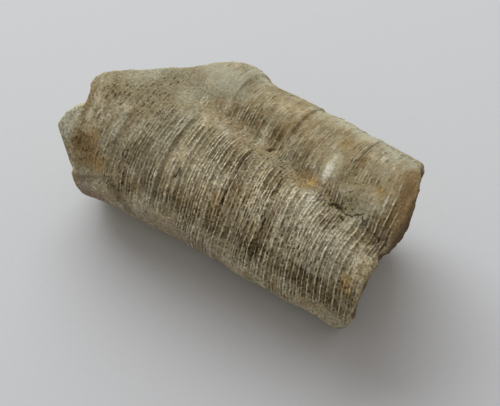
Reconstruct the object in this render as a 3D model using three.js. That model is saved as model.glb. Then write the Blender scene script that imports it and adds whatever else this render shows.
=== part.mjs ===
// Crinoid fossil: a short broken length of ribbed fossil, one stone, lying on a worn flat underside.
//
// The long axis runs along X and Z is up. The front faces -Y. Two lobes lie side by side: a large
// front lobe and a smaller back lobe, parted by a groove that crosses the top from the back left
// to the front right. Growth rings, about 1 mm apart, run round the whole skin. They are nearly
// square to the long axis, and lean over the back near the right end. Both ends are broken, and an
// oblique break takes off the back left corner.
//
// Every point of the skin is given by x along the axis, an angle round it and a radius from it.
// Angle 0 is the front, 90 the top, 180 the back and 270 the underside.

import * as THREE from "three";
import { mergeVertices } from "three/addons/utils/BufferGeometryUtils.js";

// ---- Driving dimensions: millimetres, and degrees round the axis ----

const HALF_WIDTH = 12.75; // axis to front or back
const HALF_HEIGHT = 11.2; // axis to top
const HALF_DEPTH = 12.1; // axis to where the underside would be without its worn flat
const AXIS_HEIGHT = 11.2; // the axis above the worn flat
const SQUARENESS = 2.38; // 2 is an ellipse, more is boxier

const RING_PITCH = 0.96; // along the axis, from ring to ring
const RING_DEPTH = 0.24; // crest to valley
const RING_WANDER = 0.3; // how far a ring sways from its plane
const PITCH_VARIATION = 0.13; // share of the pitch
const BACK_LEAN = 3.2; // how far the rings near the right end lean to the left over the back
const FOOT_TRAIL = 1.5; // how far the rings trail to the left at the foot of the front

const REACH = 28; // the rings are laid out this far each way, and the ends cut them off

// The groove between the lobes, from its shallow start at the left to the right end.
const GROOVE_SPREAD = 13;
const GROOVE = [
  { x: -18, angle: 100, depth: 0 },
  { x: -11, angle: 96, depth: 0.9 },
  { x: -3, angle: 89, depth: 1.7 },
  { x: 5, angle: 84, depth: 2.0 },
  { x: 11, angle: 75, depth: 2.1 },
  { x: 17, angle: 62, depth: 2.1 },
  { x: 26, angle: 50, depth: 1.6 },
];

// Broad swellings and hollows of the skin. Height is outwards.
const LUMPS = [
  { name: "back shoulder", x: -9.0, angle: 137, length: 4.1, spread: 24, height: 1.8 },
  { name: "low left", x: -20.8, angle: -23, length: 3.2, spread: 15, height: 0.35 },
  { name: "thin lower front", x: 21.8, angle: -8, length: 5.3, spread: 24, height: -0.5 },
  { name: "low back right", x: 21, angle: 128, length: 5, spread: 20, height: -0.8 },
  { name: "back bulge", x: 0.5, angle: 150, length: 4, spread: 24, height: 0.3 },
  { name: "front belly", x: -2.8, angle: 28, length: 14, spread: 31, height: 0.23 },
  { name: "back lobe", x: 16, angle: 113, length: 12.6, spread: 18, height: 0.33 },
  { name: "rust hollow", x: 9.5, angle: 74, length: 2.6, spread: 9, height: -0.5 },
  { name: "left peak", x: -21.2, angle: 66, length: 2.8, spread: 13, height: 0.5 },
  { name: "lean lower front", x: -2, angle: -37, length: 13, spread: 18, height: -0.35 },
];

// The toe: a lump of stone at the foot of the left end, below a sharp edge that runs round it.
const TOE_EDGE = [
  { x: -26, angle: -10, height: 0.35 },
  { x: -23, angle: -9, height: 0.4 },
  { x: -21, angle: -8, height: 0.8 },
  { x: -18.4, angle: -3, height: 0.9 },
  { x: -16.2, angle: 6, height: 0.8 },
  { x: -14.8, angle: 6, height: 0.7 },
  { x: -13.8, angle: -2, height: 0.55 },
  { x: -12.6, angle: -13, height: 0.35 },
  { x: -11, angle: -24, height: 0 },
];
const TOE_SHARPNESS = 3.5; // degrees over which its edge rises
const TOE_REACH = 46; // degrees over which it fades out below

// Ledges: the skin climbs over a run and drops at a ring, between two angles.
const LEDGES = [
  { x: -15.2, from: 12, to: 62, run: 2.4, drop: 0.3 },
  { x: -7.7, from: 18, to: 66, run: 3.0, drop: 0.28 },
  { x: 2.6, from: 22, to: 78, run: 3.6, drop: 0.55 },
  { x: 9.2, from: -5, to: 60, run: 3.2, drop: 0.42 },
  { x: 5.6, from: 95, to: 150, run: 3.2, drop: 0.3 },
  { x: 16.8, from: 82, to: 150, run: 3.6, drop: 0.26 },
  { x: -4.6, from: 100, to: 160, run: 3.2, drop: 0.28 },
];
const LEDGE_EASE = 9; // degrees over which a ledge fades in at each end of its run round the axis

// Flat breaks that shear off corners of the skin: a point on each, the way it faces, and the
// width over which its edge is worn round.
const BREAKS = [
  { name: "oblique back left", at: [-7.9, 10.6, 20.2], faces: [-0.59, 0.65, 0.33], wear: 1.2 },
  { name: "lower left", at: [-26.4, -8.9, 15], faces: [-1, -0.59, -0.32], wear: 1.3 },
  { name: "lower right corner", at: [23.4, -9.4, 4.9], faces: [0.86, -0.36, -0.42], wear: 1.5 },
  { name: "back right corner", at: [23.2, 8.3, 19.9], faces: [0.75, 0.66, 0.27], wear: 1.3 },
];

// The two broken ends. Each is a leaning plane with swellings, and a step across it.
const LEFT_END = {
  at: [-22.8, -3.3, 20],
  faces: [-1, 0.183, 0.066],
  swellings: [
    { y: -9, z: 14.2, radius: 3.6, height: 1.0 },
    { y: -11.8, z: 4.4, radius: 4.5, height: 0.4 },
    { y: 4, z: 8, radius: 5, height: -0.9 },
    { y: -8.4, z: 20.8, radius: 2.3, height: -1.4 },
  ],
  step: { y: -7.2, z: 18, faces: [-0.75, -0.66], height: 0.5 },
};
const RIGHT_END = {
  at: [24.6, -10.5, 14],
  faces: [1, 0.176, -0.216],
  swellings: [
    { y: 0.4, z: 17.6, radius: 5.0, height: 1.25 },
    { y: 9.3, z: 19.2, radius: 5.3, height: -0.8 },
    { y: -2, z: 7, radius: 4.5, height: -0.8 },
    { y: -11.5, z: 6, radius: 4.5, height: 0.7 },
  ],
  step: { y: -5.2, z: 17.2, faces: [0.8, 0.6], height: 0.5 },
};
const STEP_WIDTH = 0.9;
const ROUGHNESS = 0.3; // of the broken faces

const COLUMNS = 44; // faces round the axis
const COLUMN_CROWDING = 0.25; // how much closer the columns stand on the top than underneath
const CROWDED_ANGLE = 65;
const END_RINGS = 5; // rings of faces across each broken end
const SNAP = 0.06; // a ring this close to an end's edge ends on it

const DEGREE = Math.PI / 180;

// ---- Small helpers ----

/** 0 below from, 1 above to, and an S-curve between them. */
function ease(from, to, value) {
  return THREE.MathUtils.smoothstep(value, from, to);
}

/** A bell curve, 1 at distance 0. */
function bell(distance) {
  return Math.exp(-distance * distance);
}

/** The signed gap between two angles, in degrees, from -180 to 180. */
function angleGap(a, b) {
  return THREE.MathUtils.euclideanModulo(a - b + 180, 360) - 180;
}

/** The lower of a and b, with the corner between them worn round over a width. */
function wornMinimum(a, b, width) {
  const share = THREE.MathUtils.clamp(0.5 + (b - a) / (2 * width), 0, 1);
  return THREE.MathUtils.lerp(b, a, share) - width * share * (1 - share);
}

/** Broken stone: crossed waves of two sizes, from about -1 to 1. */
function broken(x, y, z) {
  const coarse = Math.sin(0.7 * x + 0.9 * y + 1.3) * Math.sin(0.8 * z - 0.5 * y + 0.4 * x);
  const fine = Math.sin(1.9 * y - 1.3 * z + 2.1) * Math.sin(1.7 * z + 1.1 * y - 1.5 * x);
  return 0.65 * coarse + 0.35 * fine;
}

// ---- Growth rings ----

/** The x of every ring's crest, from left to right. */
function layOutRings() {
  const crests = [-REACH];
  while (crests.at(-1) < REACH) {
    const i = crests.length;
    const variation = Math.sin(1.7 * i) + Math.sin(0.61 * i + 1);
    crests.push(crests.at(-1) + RING_PITCH * (1 + PITCH_VARIATION * variation));
  }
  return crests;
}
const CRESTS = layOutRings();

/** How far a ring strays from its plane, at an angle. */
function wander(x, angle) {
  const a = angle * DEGREE;
  const sway = RING_WANDER * (Math.sin(2 * a + x / 8) + 0.4 * Math.sin(5 * a - x / 5));
  const round = THREE.MathUtils.euclideanModulo(angle, 360);
  const lean = BACK_LEAN * ease(8, 24, x) * (ease(55, 150, round) - ease(200, 330, round));
  const gap = angleGap(angle, 0);
  const trail = FOOT_TRAIL * (1 - ease(-45, 35, gap)) * ease(-170, -70, gap);
  return sway - lean - trail;
}

/** The own place along the axis of the ring that passes through x at an angle. */
function ringPlace(x, angle) {
  let place = x;
  for (let i = 0; i < 4; i++) place = x - wander(place, angle);
  return place;
}

/** Rings stand out most on the front, and are worn down underneath, at the back and at the left. */
function ringStrength(x, angle) {
  const underneath = ease(80, 130, Math.abs(angleGap(angle, 90)));
  const backLobe = ease(2, 22, angleGap(angle, grooveAt(x).angle));
  const left = ease(9, 20, -x);
  return (1 - 0.6 * underneath) * (1 - 0.5 * backLobe) * (1 - 0.45 * left);
}

// ---- The skin ----

/** One value of a table of places along the axis, at x. */
function along(table, key, x) {
  let i = 1;
  while (i < table.length - 1 && table[i].x < x) i++;
  const [a, b] = [table[i - 1], table[i]];
  const share = THREE.MathUtils.clamp((x - a.x) / (b.x - a.x), 0, 1);
  return THREE.MathUtils.lerp(a[key], b[key], share);
}

/** The groove's angle and depth at x. */
function grooveAt(x) {
  return { angle: along(GROOVE, "angle", x), depth: along(GROOVE, "depth", x) };
}

/** The height that the toe adds at x and an angle. */
function toeHeight(x, angle) {
  const below = angleGap(along(TOE_EDGE, "angle", x), angle);
  const edge = ease(-TOE_SHARPNESS / 2, TOE_SHARPNESS / 2, below);
  return along(TOE_EDGE, "height", x) * edge * (1 - ease(0, TOE_REACH, below));
}

/** The height that the ledges add at x and an angle. */
function ledgeHeight(x, angle) {
  const place = ringPlace(x, angle);
  let height = 0;
  for (const { x: edge, from, to, run, drop } of LEDGES) {
    if (place > edge || place < edge - run) continue;
    const middle = (from + to) / 2;
    const outside = Math.abs(angleGap(angle, middle)) - (to - from) / 2;
    height += drop * (1 - (edge - place) / run) * (1 - ease(-LEDGE_EASE, 0, outside));
  }
  return height;
}

/** The radius of the unbroken skin, rings left out. */
function skinRadius(x, angle) {
  const across = Math.abs(Math.cos(angle * DEGREE)) / HALF_WIDTH;
  const rise = Math.sin(angle * DEGREE);
  const upright = Math.abs(rise) / (rise < 0 ? HALF_DEPTH : HALF_HEIGHT);
  let radius = (across ** SQUARENESS + upright ** SQUARENESS) ** (-1 / SQUARENESS);

  const groove = grooveAt(x);
  radius -= groove.depth * bell(angleGap(angle, groove.angle) / GROOVE_SPREAD);
  for (const lump of LUMPS) {
    const lengthwise = (x - lump.x) / lump.length;
    const round = angleGap(angle, lump.angle) / lump.spread;
    radius += lump.height * bell(lengthwise) * bell(round);
  }
  const a = angle * DEGREE;
  radius += 0.12 * Math.sin(x / 2.7 + 2 * a) + 0.08 * Math.sin(x / 1.16 - 3 * a + 1);
  return radius + ledgeHeight(x, angle);
}

/** The distance from the axis to a flat break, outwards at an angle, or Infinity if it faces away. */
function breakRadius({ at, faces }, x, angle) {
  const a = angle * DEGREE;
  const outwards = new THREE.Vector3(0, -Math.cos(a), Math.sin(a));
  const normal = new THREE.Vector3(...faces).normalize();
  const closing = outwards.dot(normal);
  if (closing < 1e-3) return Infinity;
  const axisPoint = new THREE.Vector3(x, 0, AXIS_HEIGHT);
  const depth = new THREE.Vector3(...at).sub(axisPoint).dot(normal);
  const flat = depth / closing;
  const hit = axisPoint.addScaledVector(outwards, flat);
  return Math.max(flat + ROUGHNESS * broken(hit.x, hit.y, hit.z), 0.5);
}

/** The radius of the stone: skin and rings, less the breaks and the worn flat, and the toe. */
function stoneRadius(x, angle, ringHeight) {
  let radius = skinRadius(x, angle) + ringHeight * ringStrength(x, angle);
  for (const part of BREAKS) {
    const limit = breakRadius(part, x, angle);
    if (limit < radius + 2 * part.wear) radius = wornMinimum(radius, limit, part.wear);
  }
  radius += toeHeight(x, angle);
  const downwards = -Math.sin(angle * DEGREE);
  return downwards > 0 ? Math.min(radius, AXIS_HEIGHT / downwards) : radius;
}

/** The point of the stone's surface at x and an angle. */
function stonePoint(x, angle, ringHeight) {
  const radius = stoneRadius(x, angle, ringHeight);
  const a = angle * DEGREE;
  const height = AXIS_HEIGHT + radius * Math.sin(a);
  return new THREE.Vector3(x, -radius * Math.cos(a), Math.abs(height) < 1e-6 ? 0 : height);
}

// ---- The broken ends ----

/** The x of a broken end's surface above a point of the cross-section. */
function endX(end, y, z) {
  const [nx, ny, nz] = end.faces;
  const out = Math.sign(nx);
  let x = end.at[0] - (ny * (y - end.at[1]) + nz * (z - end.at[2])) / nx;
  for (const s of end.swellings) {
    x += out * s.height * bell(Math.hypot(y - s.y, z - s.z) / s.radius);
  }
  const { step } = end;
  const beyond = (y - step.y) * step.faces[0] + (z - step.z) * step.faces[1];
  x += out * step.height * ease(-STEP_WIDTH / 2, STEP_WIDTH / 2, beyond);
  return x + out * ROUGHNESS * broken(x, y, z);
}

/** The x at which the skin meets a broken end, found by halving. */
function endEdge(end, angle) {
  const out = Math.sign(end.faces[0]);
  let inside = 0;
  let outside = out * (REACH + 5);
  for (let i = 0; i < 30; i++) {
    const middle = (inside + outside) / 2;
    const p = stonePoint(middle, angle, 0);
    if (out * (p.x - endX(end, p.y, p.z)) > 0) outside = middle;
    else inside = middle;
  }
  return (inside + outside) / 2;
}

/** The rings of points across a broken end, from near its middle out to its edge. */
function endFace(end, angles, edges) {
  const edge = angles.map((angle, j) => stonePoint(edges[j], angle, 0));
  const middle = edge
    .reduce((sum, p) => sum.add(p), new THREE.Vector3())
    .divideScalar(edge.length);
  const onEnd = (p) => p.setX(endX(end, p.y, p.z));
  const rings = [];
  for (let k = 1; k < END_RINGS; k++) {
    rings.push(edge.map((p) => onEnd(middle.clone().lerp(p, k / END_RINGS))));
  }
  return { middle: onEnd(middle.clone()), rings };
}

// ---- The solid ----

/** The angles of the columns, closest together on the top. */
function columnAngles() {
  const crowding = COLUMN_CROWDING / DEGREE;
  return Array.from({ length: COLUMNS }, (_, j) => {
    const even = (360 * j) / COLUMNS + CROWDED_ANGLE;
    return even - crowding * Math.sin((even - CROWDED_ANGLE) * DEGREE);
  });
}

/** The rows of points along the skin: a row for each ring's crest and one for each valley. */
function skinRows(angles, leftEdges, rightEdges) {
  const rows = [];
  for (let i = 0; i < CRESTS.length - 1; i++) {
    const crest = CRESTS[i];
    const valley = (crest + CRESTS[i + 1]) / 2;
    for (const [x, height] of [
      [crest, RING_DEPTH / 2],
      [valley, -RING_DEPTH / 2],
    ]) {
      rows.push(
        angles.map((angle, j) => {
          const here = x + wander(x, angle);
          if (here < leftEdges[j] + SNAP) return stonePoint(leftEdges[j], angle, 0);
          if (here > rightEdges[j] - SNAP) return stonePoint(rightEdges[j], angle, 0);
          return stonePoint(here, angle, height);
        }),
      );
    }
  }
  return rows;
}

/** A closed surface through rings of points, with a point that closes each end. */
function skinOver(firstPoint, rings, lastPoint) {
  const points = [firstPoint, ...rings.flat(), lastPoint];
  const columns = rings[0].length;
  const at = (ring, column) => 1 + ring * columns + (column % columns);
  const index = [];
  for (let j = 0; j < columns; j++) {
    index.push(0, at(0, j), at(0, j + 1));
    index.push(points.length - 1, at(rings.length - 1, j + 1), at(rings.length - 1, j));
    for (let i = 0; i < rings.length - 1; i++) {
      index.push(at(i, j), at(i + 1, j + 1), at(i, j + 1));
      index.push(at(i, j), at(i + 1, j), at(i + 1, j + 1));
    }
  }
  const geometry = new THREE.BufferGeometry().setFromPoints(points).setIndex(index);
  return withoutSlivers(mergeVertices(geometry, 1e-3));
}

/** Drops the faces that closed up where rings of points meet at an end's edge. */
function withoutSlivers(geometry) {
  const index = geometry.index.array;
  const kept = [];
  for (let i = 0; i < index.length; i += 3) {
    const [a, b, c] = [index[i], index[i + 1], index[i + 2]];
    if (a !== b && b !== c && c !== a) kept.push(a, b, c);
  }
  return geometry.setIndex(kept);
}

/** The whole stone, centred over the origin and resting on it. */
function fossilGeometry() {
  const angles = columnAngles();
  const leftEdges = angles.map((angle) => endEdge(LEFT_END, angle));
  const rightEdges = angles.map((angle) => endEdge(RIGHT_END, angle));
  const left = endFace(LEFT_END, angles, leftEdges);
  const right = endFace(RIGHT_END, angles, rightEdges);
  const rings = [
    ...left.rings,
    ...skinRows(angles, leftEdges, rightEdges),
    ...right.rings.reverse(),
  ];
  const geometry = skinOver(left.middle, rings, right.middle);
  geometry.computeBoundingBox();
  const centre = geometry.boundingBox.getCenter(new THREE.Vector3());
  geometry.translate(-centre.x, -centre.y, 0);
  geometry.computeVertexNormals();
  return geometry;
}

const limestone = new THREE.MeshStandardMaterial({
  color: new THREE.Color(0.49, 0.45, 0.36),
  roughness: 0.92,
  metalness: 0,
  flatShading: true,
});

const fossil = new THREE.Mesh(fossilGeometry(), limestone);
fossil.name = "fossil";

const part = new THREE.Group();
part.name = "crinoid_fossil";
part.add(fossil);

export default part;
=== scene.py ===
"""A crinoid fossil: a short broken length of ribbed stone, lying on a pale sheet.

The stone's form is worked out in millimetres in a frame of its own, from x along the long axis,
an angle round it and a radius from it. Angle 0 is the front, 90 the top, 180 the back and 270 the
underside. Geometry Nodes then raise the growth rings, pits and rough breaks out of that form.
"""

import logging
import math
from dataclasses import dataclass, field
from enum import Enum
from functools import partial, reduce
from typing import Any, Mapping, Optional, Sequence, Union

import bpy
import numpy as np
from mathutils import Matrix, Vector


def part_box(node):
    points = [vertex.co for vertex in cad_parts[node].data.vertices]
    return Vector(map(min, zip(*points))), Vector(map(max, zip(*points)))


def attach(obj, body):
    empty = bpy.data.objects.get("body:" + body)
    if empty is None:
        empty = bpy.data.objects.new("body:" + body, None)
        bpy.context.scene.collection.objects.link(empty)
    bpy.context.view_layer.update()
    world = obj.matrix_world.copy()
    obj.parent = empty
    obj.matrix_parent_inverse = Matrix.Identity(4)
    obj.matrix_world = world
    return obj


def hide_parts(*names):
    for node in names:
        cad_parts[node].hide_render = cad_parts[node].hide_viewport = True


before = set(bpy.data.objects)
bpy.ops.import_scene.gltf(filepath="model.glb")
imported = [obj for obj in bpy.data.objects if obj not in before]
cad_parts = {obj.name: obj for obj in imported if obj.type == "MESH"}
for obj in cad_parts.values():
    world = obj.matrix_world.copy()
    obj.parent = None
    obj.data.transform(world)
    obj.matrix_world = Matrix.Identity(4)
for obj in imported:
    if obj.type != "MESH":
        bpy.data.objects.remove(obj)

LOG = logging.getLogger("crinoid_fossil")
MM = 0.001
DEGREE = np.pi / 180
EDGE_ON = 1e-3  # the least share of a face that counts as turned towards the axis
FAR_AWAY = 1e6  # a radius beyond every other
ON_GROUND = 1e-6  # a height that counts as none
LEAST_RADIUS = 0.5  # how near the axis a break may come, in millimetres

Triple = tuple[float, float, float]
Socket = bpy.types.NodeSocket
Value = Union[Socket, float, int, bool, str, Sequence[float], bpy.types.Material]


# ---- Curves and angles ----


def ease(low: float, high: float, value: np.ndarray) -> np.ndarray:
    """Makes an S-curve from 0 to 1.

    Args:
        low: the value at and below which the curve is 0.
        high: the value at and above which the curve is 1.
        value: where the curve is read.

    Returns:
        The curve's height at each value.
    """
    share = np.clip((value - low) / (high - low), 0, 1)
    return share * share * (3 - 2 * share)


def bell(distance: np.ndarray) -> np.ndarray:
    """Gives a bell curve, 1 at distance 0."""
    return np.exp(-distance * distance)


def angle_gap(a: np.ndarray, b: Union[float, np.ndarray]) -> np.ndarray:
    """Gives the signed gap from angle b to angle a, in degrees, from -180 to 180."""
    return (a - b + 180) % 360 - 180


def zone_product(*zones: tuple[float, np.ndarray]) -> np.ndarray:
    """Multiplies together 1 + change * zone for every zone, which runs from 0 to 1."""
    return math.prod(1 + change * zone for change, zone in zones)


def worn_minimum(a: np.ndarray, b: np.ndarray, width: float) -> np.ndarray:
    """Takes the lower of two heights, with the corner between them worn round.

    Args:
        a: the first height.
        b: the second height.
        width: how far the wear reaches each way from where they cross.

    Returns:
        The lower height, or a little less than it near the corner.
    """
    share = np.clip(0.5 + (b - a) / (2 * width), 0, 1)
    return b + (a - b) * share - width * share * (1 - share)


def broken_stone(x: np.ndarray, y: np.ndarray, z: np.ndarray) -> np.ndarray:
    """Gives broken stone's waves of two sizes.

    Args:
        x: the points' x.
        y: their y.
        z: their z.

    Returns:
        The waves' height at each point, from about -1 to 1.
    """
    coarse = np.sin(0.7 * x + 0.9 * y + 1.3) * np.sin(0.8 * z - 0.5 * y + 0.4 * x)
    fine = np.sin(1.9 * y - 1.3 * z + 2.1) * np.sin(1.7 * z + 1.1 * y - 1.5 * x)
    return 0.65 * coarse + 0.35 * fine


# ---- The stone's form ----


@dataclass(frozen=True)
class Lump:
    """A broad swelling of the skin, or a hollow where its height is less than 0."""

    x: float
    angle: float
    length: float
    spread: float
    height: float

    def height_at(self, x: np.ndarray, angle: np.ndarray) -> np.ndarray:
        """Gives how far the swelling raises the skin at x and an angle."""
        across = bell(angle_gap(angle, self.angle) / self.spread)
        return self.height * bell((x - self.x) / self.length) * across


@dataclass(frozen=True)
class Ledge:
    """A run over which the skin climbs before it drops at a ring, between two angles."""

    x: float
    start: float
    end: float
    run: float
    drop: float
    fade: float = 9.0

    def height_at(self, x: np.ndarray, angle: np.ndarray) -> np.ndarray:
        """Gives how far the ledge raises the skin.

        Args:
            x: the place along the axis.
            angle: the angle round it.

        Returns:
            The height at each place.
        """
        climb = np.where((x <= self.x) & (x >= self.x - self.run), 1 - (self.x - x) / self.run, 0)
        middle = (self.start + self.end) / 2
        outside = np.abs(angle_gap(angle, middle)) - (self.end - self.start) / 2
        return self.drop * climb * (1 - ease(-self.fade, 0, outside))


@dataclass(frozen=True)
class FlatBreak:
    """A flat break that shears off a corner: a point on it, the way it faces, and its worn edge."""

    at: Triple
    faces: Triple
    wear: float
    bared: float = 1.0

    def radius_at(
        self, x: np.ndarray, angle: np.ndarray, axis_height: float, roughness: float
    ) -> np.ndarray:
        """Finds how far out from the axis the break lies.

        Args:
            x: the place along the axis.
            angle: the angle round it.
            axis_height: the axis above the ground.
            roughness: how far the broken face strays from flat.

        Returns:
            The distance from the axis, or a very large one where the break faces away.
        """
        normal = np.array(self.faces) / np.linalg.norm(self.faces)
        out_y, out_z = -np.cos(angle * DEGREE), np.sin(angle * DEGREE)
        closing = out_y * normal[1] + out_z * normal[2]
        depth = (
            (self.at[0] - x) * normal[0]
            + self.at[1] * normal[1]
            + (self.at[2] - axis_height) * normal[2]
        )
        facing = closing > EDGE_ON
        flat = depth / np.where(facing, closing, 1)
        rough = broken_stone(x, out_y * flat, axis_height + out_z * flat)
        return np.where(facing, np.maximum(flat + roughness * rough, LEAST_RADIUS), FAR_AWAY)


@dataclass(frozen=True)
class Swelling:
    """A round swelling on a broken end, or a hollow where its height is less than 0."""

    y: float
    z: float
    radius: float
    height: float


@dataclass(frozen=True)
class BrokenEnd:
    """A broken end: a leaning plane with swellings, a step across it, and perhaps a brown upper half."""

    at: Triple
    faces: Triple
    swellings: tuple[Swelling, ...]
    step_at: tuple[float, float]
    step_faces: tuple[float, float]
    step_height: float
    step_width: float = 0.9
    roughness: float = 0.3
    brown: float = 0.0

    @property
    def out(self) -> float:
        """Gives the sign of the way that the end faces along x."""
        return float(np.sign(self.faces[0]))

    def x_at(self, y: np.ndarray, z: np.ndarray) -> np.ndarray:
        """Finds the x of the broken face above points of the cross-section.

        Args:
            y: the points' y.
            z: the points' z.

        Returns:
            The face's x at each point.
        """
        nx, ny, nz = self.faces
        x = self.at[0] - (ny * (y - self.at[1]) + nz * (z - self.at[2])) / nx
        for lump in self.swellings:
            x = x + self.out * lump.height * bell(np.hypot(y - lump.y, z - lump.z) / lump.radius)
        beyond = (y - self.step_at[0]) * self.step_faces[0] + (z - self.step_at[1]) * self.step_faces[1]
        x = x + self.out * self.step_height * ease(-self.step_width / 2, self.step_width / 2, beyond)
        return x + self.out * self.roughness * broken_stone(x, y, z)

    def brown_at(self, points: np.ndarray, share: np.ndarray) -> np.ndarray:
        """Gives how brown the broken face is, near its rim and over its upper half.

        Args:
            points: points of the face.
            share: how far each lies on its way from the middle to the rim, from 0 to 1.

        Returns:
            The brown at each point.
        """
        y, z = points[:, 1], points[:, 2]
        wavy_z = z + 0.6 * np.maximum(-1 - y, 0) + 0.8 * np.sin(0.9 * y + 0.5 * z)
        return np.maximum(ease(0.7, 1.0, share), ease(9.5, 17.0, wavy_z)) * self.brown


@dataclass(frozen=True)
class GrowthRings:
    """The fine rings round the skin: where each lies and how far it strays from its plane."""

    pitch: float = 0.96
    wander: float = 0.3
    variation: float = 0.13
    reach: float = 28.0
    back_lean: float = 3.2
    foot_trail: float = 1.5
    steps: tuple[float, ...] = (0.0, 0.12, 0.25, 0.38, 0.5, 0.62, 0.75, 0.88)

    def crests(self) -> np.ndarray:
        """Spaces the rings unevenly along the axis.

        Returns:
            The x of every ring's crest, from left to right.
        """
        crests = [-self.reach]
        while crests[-1] < self.reach:
            i = len(crests)
            vary = np.sin(1.7 * i) + np.sin(0.61 * i + 1)
            crests.append(crests[-1] + self.pitch * (1 + self.variation * vary))
        return np.array(crests)

    def rows(self) -> tuple[np.ndarray, np.ndarray]:
        """Lays out the rows of points along the skin.

        Returns:
            Each row's x before it strays, and its place counted in rings.
        """
        crests = self.crests()
        count = len(crests) - 1
        places = (np.arange(count)[:, None] + np.array(self.steps)[None, :]).ravel()
        return np.interp(places, np.arange(len(crests)), crests), places

    def stray(self, x: np.ndarray, angle: np.ndarray) -> np.ndarray:
        """Gives how far a ring strays from its plane at an angle.

        It sways all round. Near the right end it leans to the left over the back, and everywhere
        it trails to the left at the foot of the front.

        Args:
            x: the ring's own place along the axis.
            angle: the angle round it, from 0 to 360.

        Returns:
            How far along x the ring is from its own place.
        """
        a = angle * DEGREE
        sway = self.wander * (np.sin(2 * a + x / 8) + 0.4 * np.sin(5 * a - x / 5))
        lean = self.back_lean * ease(8, 24, x) * (ease(55, 150, angle) - ease(200, 330, angle))
        around = angle_gap(angle, 0)
        trail = self.foot_trail * (1 - ease(-45, 35, around)) * ease(-170, -70, around)
        return sway - lean - trail

    def place_of(self, x: np.ndarray, angle: np.ndarray) -> np.ndarray:
        """Finds which ring passes through a place.

        Args:
            x: the place along the axis.
            angle: the angle round it.

        Returns:
            The ring's own place along the axis.
        """
        angle = angle % 360
        place = x
        for _ in range(4):
            place = x - self.stray(place, angle)
        return place


@dataclass(frozen=True)
class Cover:
    """A patch where stone covers the rings or wear has taken them: its middle, reach and amount."""

    x: float
    angle: float
    length: float
    spread: float
    amount: float

    def bared_at(self, x: np.ndarray, angle: np.ndarray) -> np.ndarray:
        """Gives the share of the rings' strength that is left at x and an angle."""
        away = ((x - self.x) / self.length) ** 2 + (angle_gap(angle, self.angle) / self.spread) ** 2
        return 1 - self.amount * np.exp(-away * away)


@dataclass(frozen=True)
class Shelf:
    """A lump of stone that stands out below a sharp edge, which is given by its angle at each x."""

    edge_x: tuple[float, ...]
    edge_angle: tuple[float, ...]
    heights: tuple[float, ...]
    reach: float
    sharpness: float = 3.5

    def height_at(self, x: np.ndarray, angle: np.ndarray) -> np.ndarray:
        """Gives how far the lump stands out.

        Args:
            x: the place along the axis.
            angle: the angle round it.

        Returns:
            The height at each place.
        """
        edge = np.interp(x, self.edge_x, self.edge_angle)
        below = angle_gap(edge, angle)
        height = np.interp(x, self.edge_x, self.heights)
        edged = ease(-self.sharpness / 2, self.sharpness / 2, below)
        return height * edged * (1 - ease(0, self.reach, below))


@dataclass(frozen=True)
class FormMesh:
    """The plain form as a mesh: points in millimetres, faces, and named values at the points."""

    points: np.ndarray
    faces: np.ndarray
    values: dict[str, np.ndarray]

    def to_object(self, name: str) -> bpy.types.Object:
        """Makes a Blender object of the form.

        Args:
            name: the object's name.

        Returns:
            The object, in metres, with each value as an attribute of its points.
        """
        mesh = bpy.data.meshes.new(name)
        mesh.vertices.add(len(self.points))
        mesh.vertices.foreach_set("co", (self.points * MM).astype(np.float32).ravel())
        mesh.loops.add(self.faces.size)
        mesh.loops.foreach_set("vertex_index", self.faces.astype(np.int32).ravel())
        mesh.polygons.add(len(self.faces))
        mesh.polygons.foreach_set("loop_start", np.arange(0, self.faces.size, 3, dtype=np.int32))
        mesh.update(calc_edges=True)
        for key, value in self.values.items():
            layer = mesh.attributes.new(key, "FLOAT", "POINT")
            layer.data.foreach_set("value", value.astype(np.float32))
        mesh.validate()
        return new_object(name, mesh)


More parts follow.
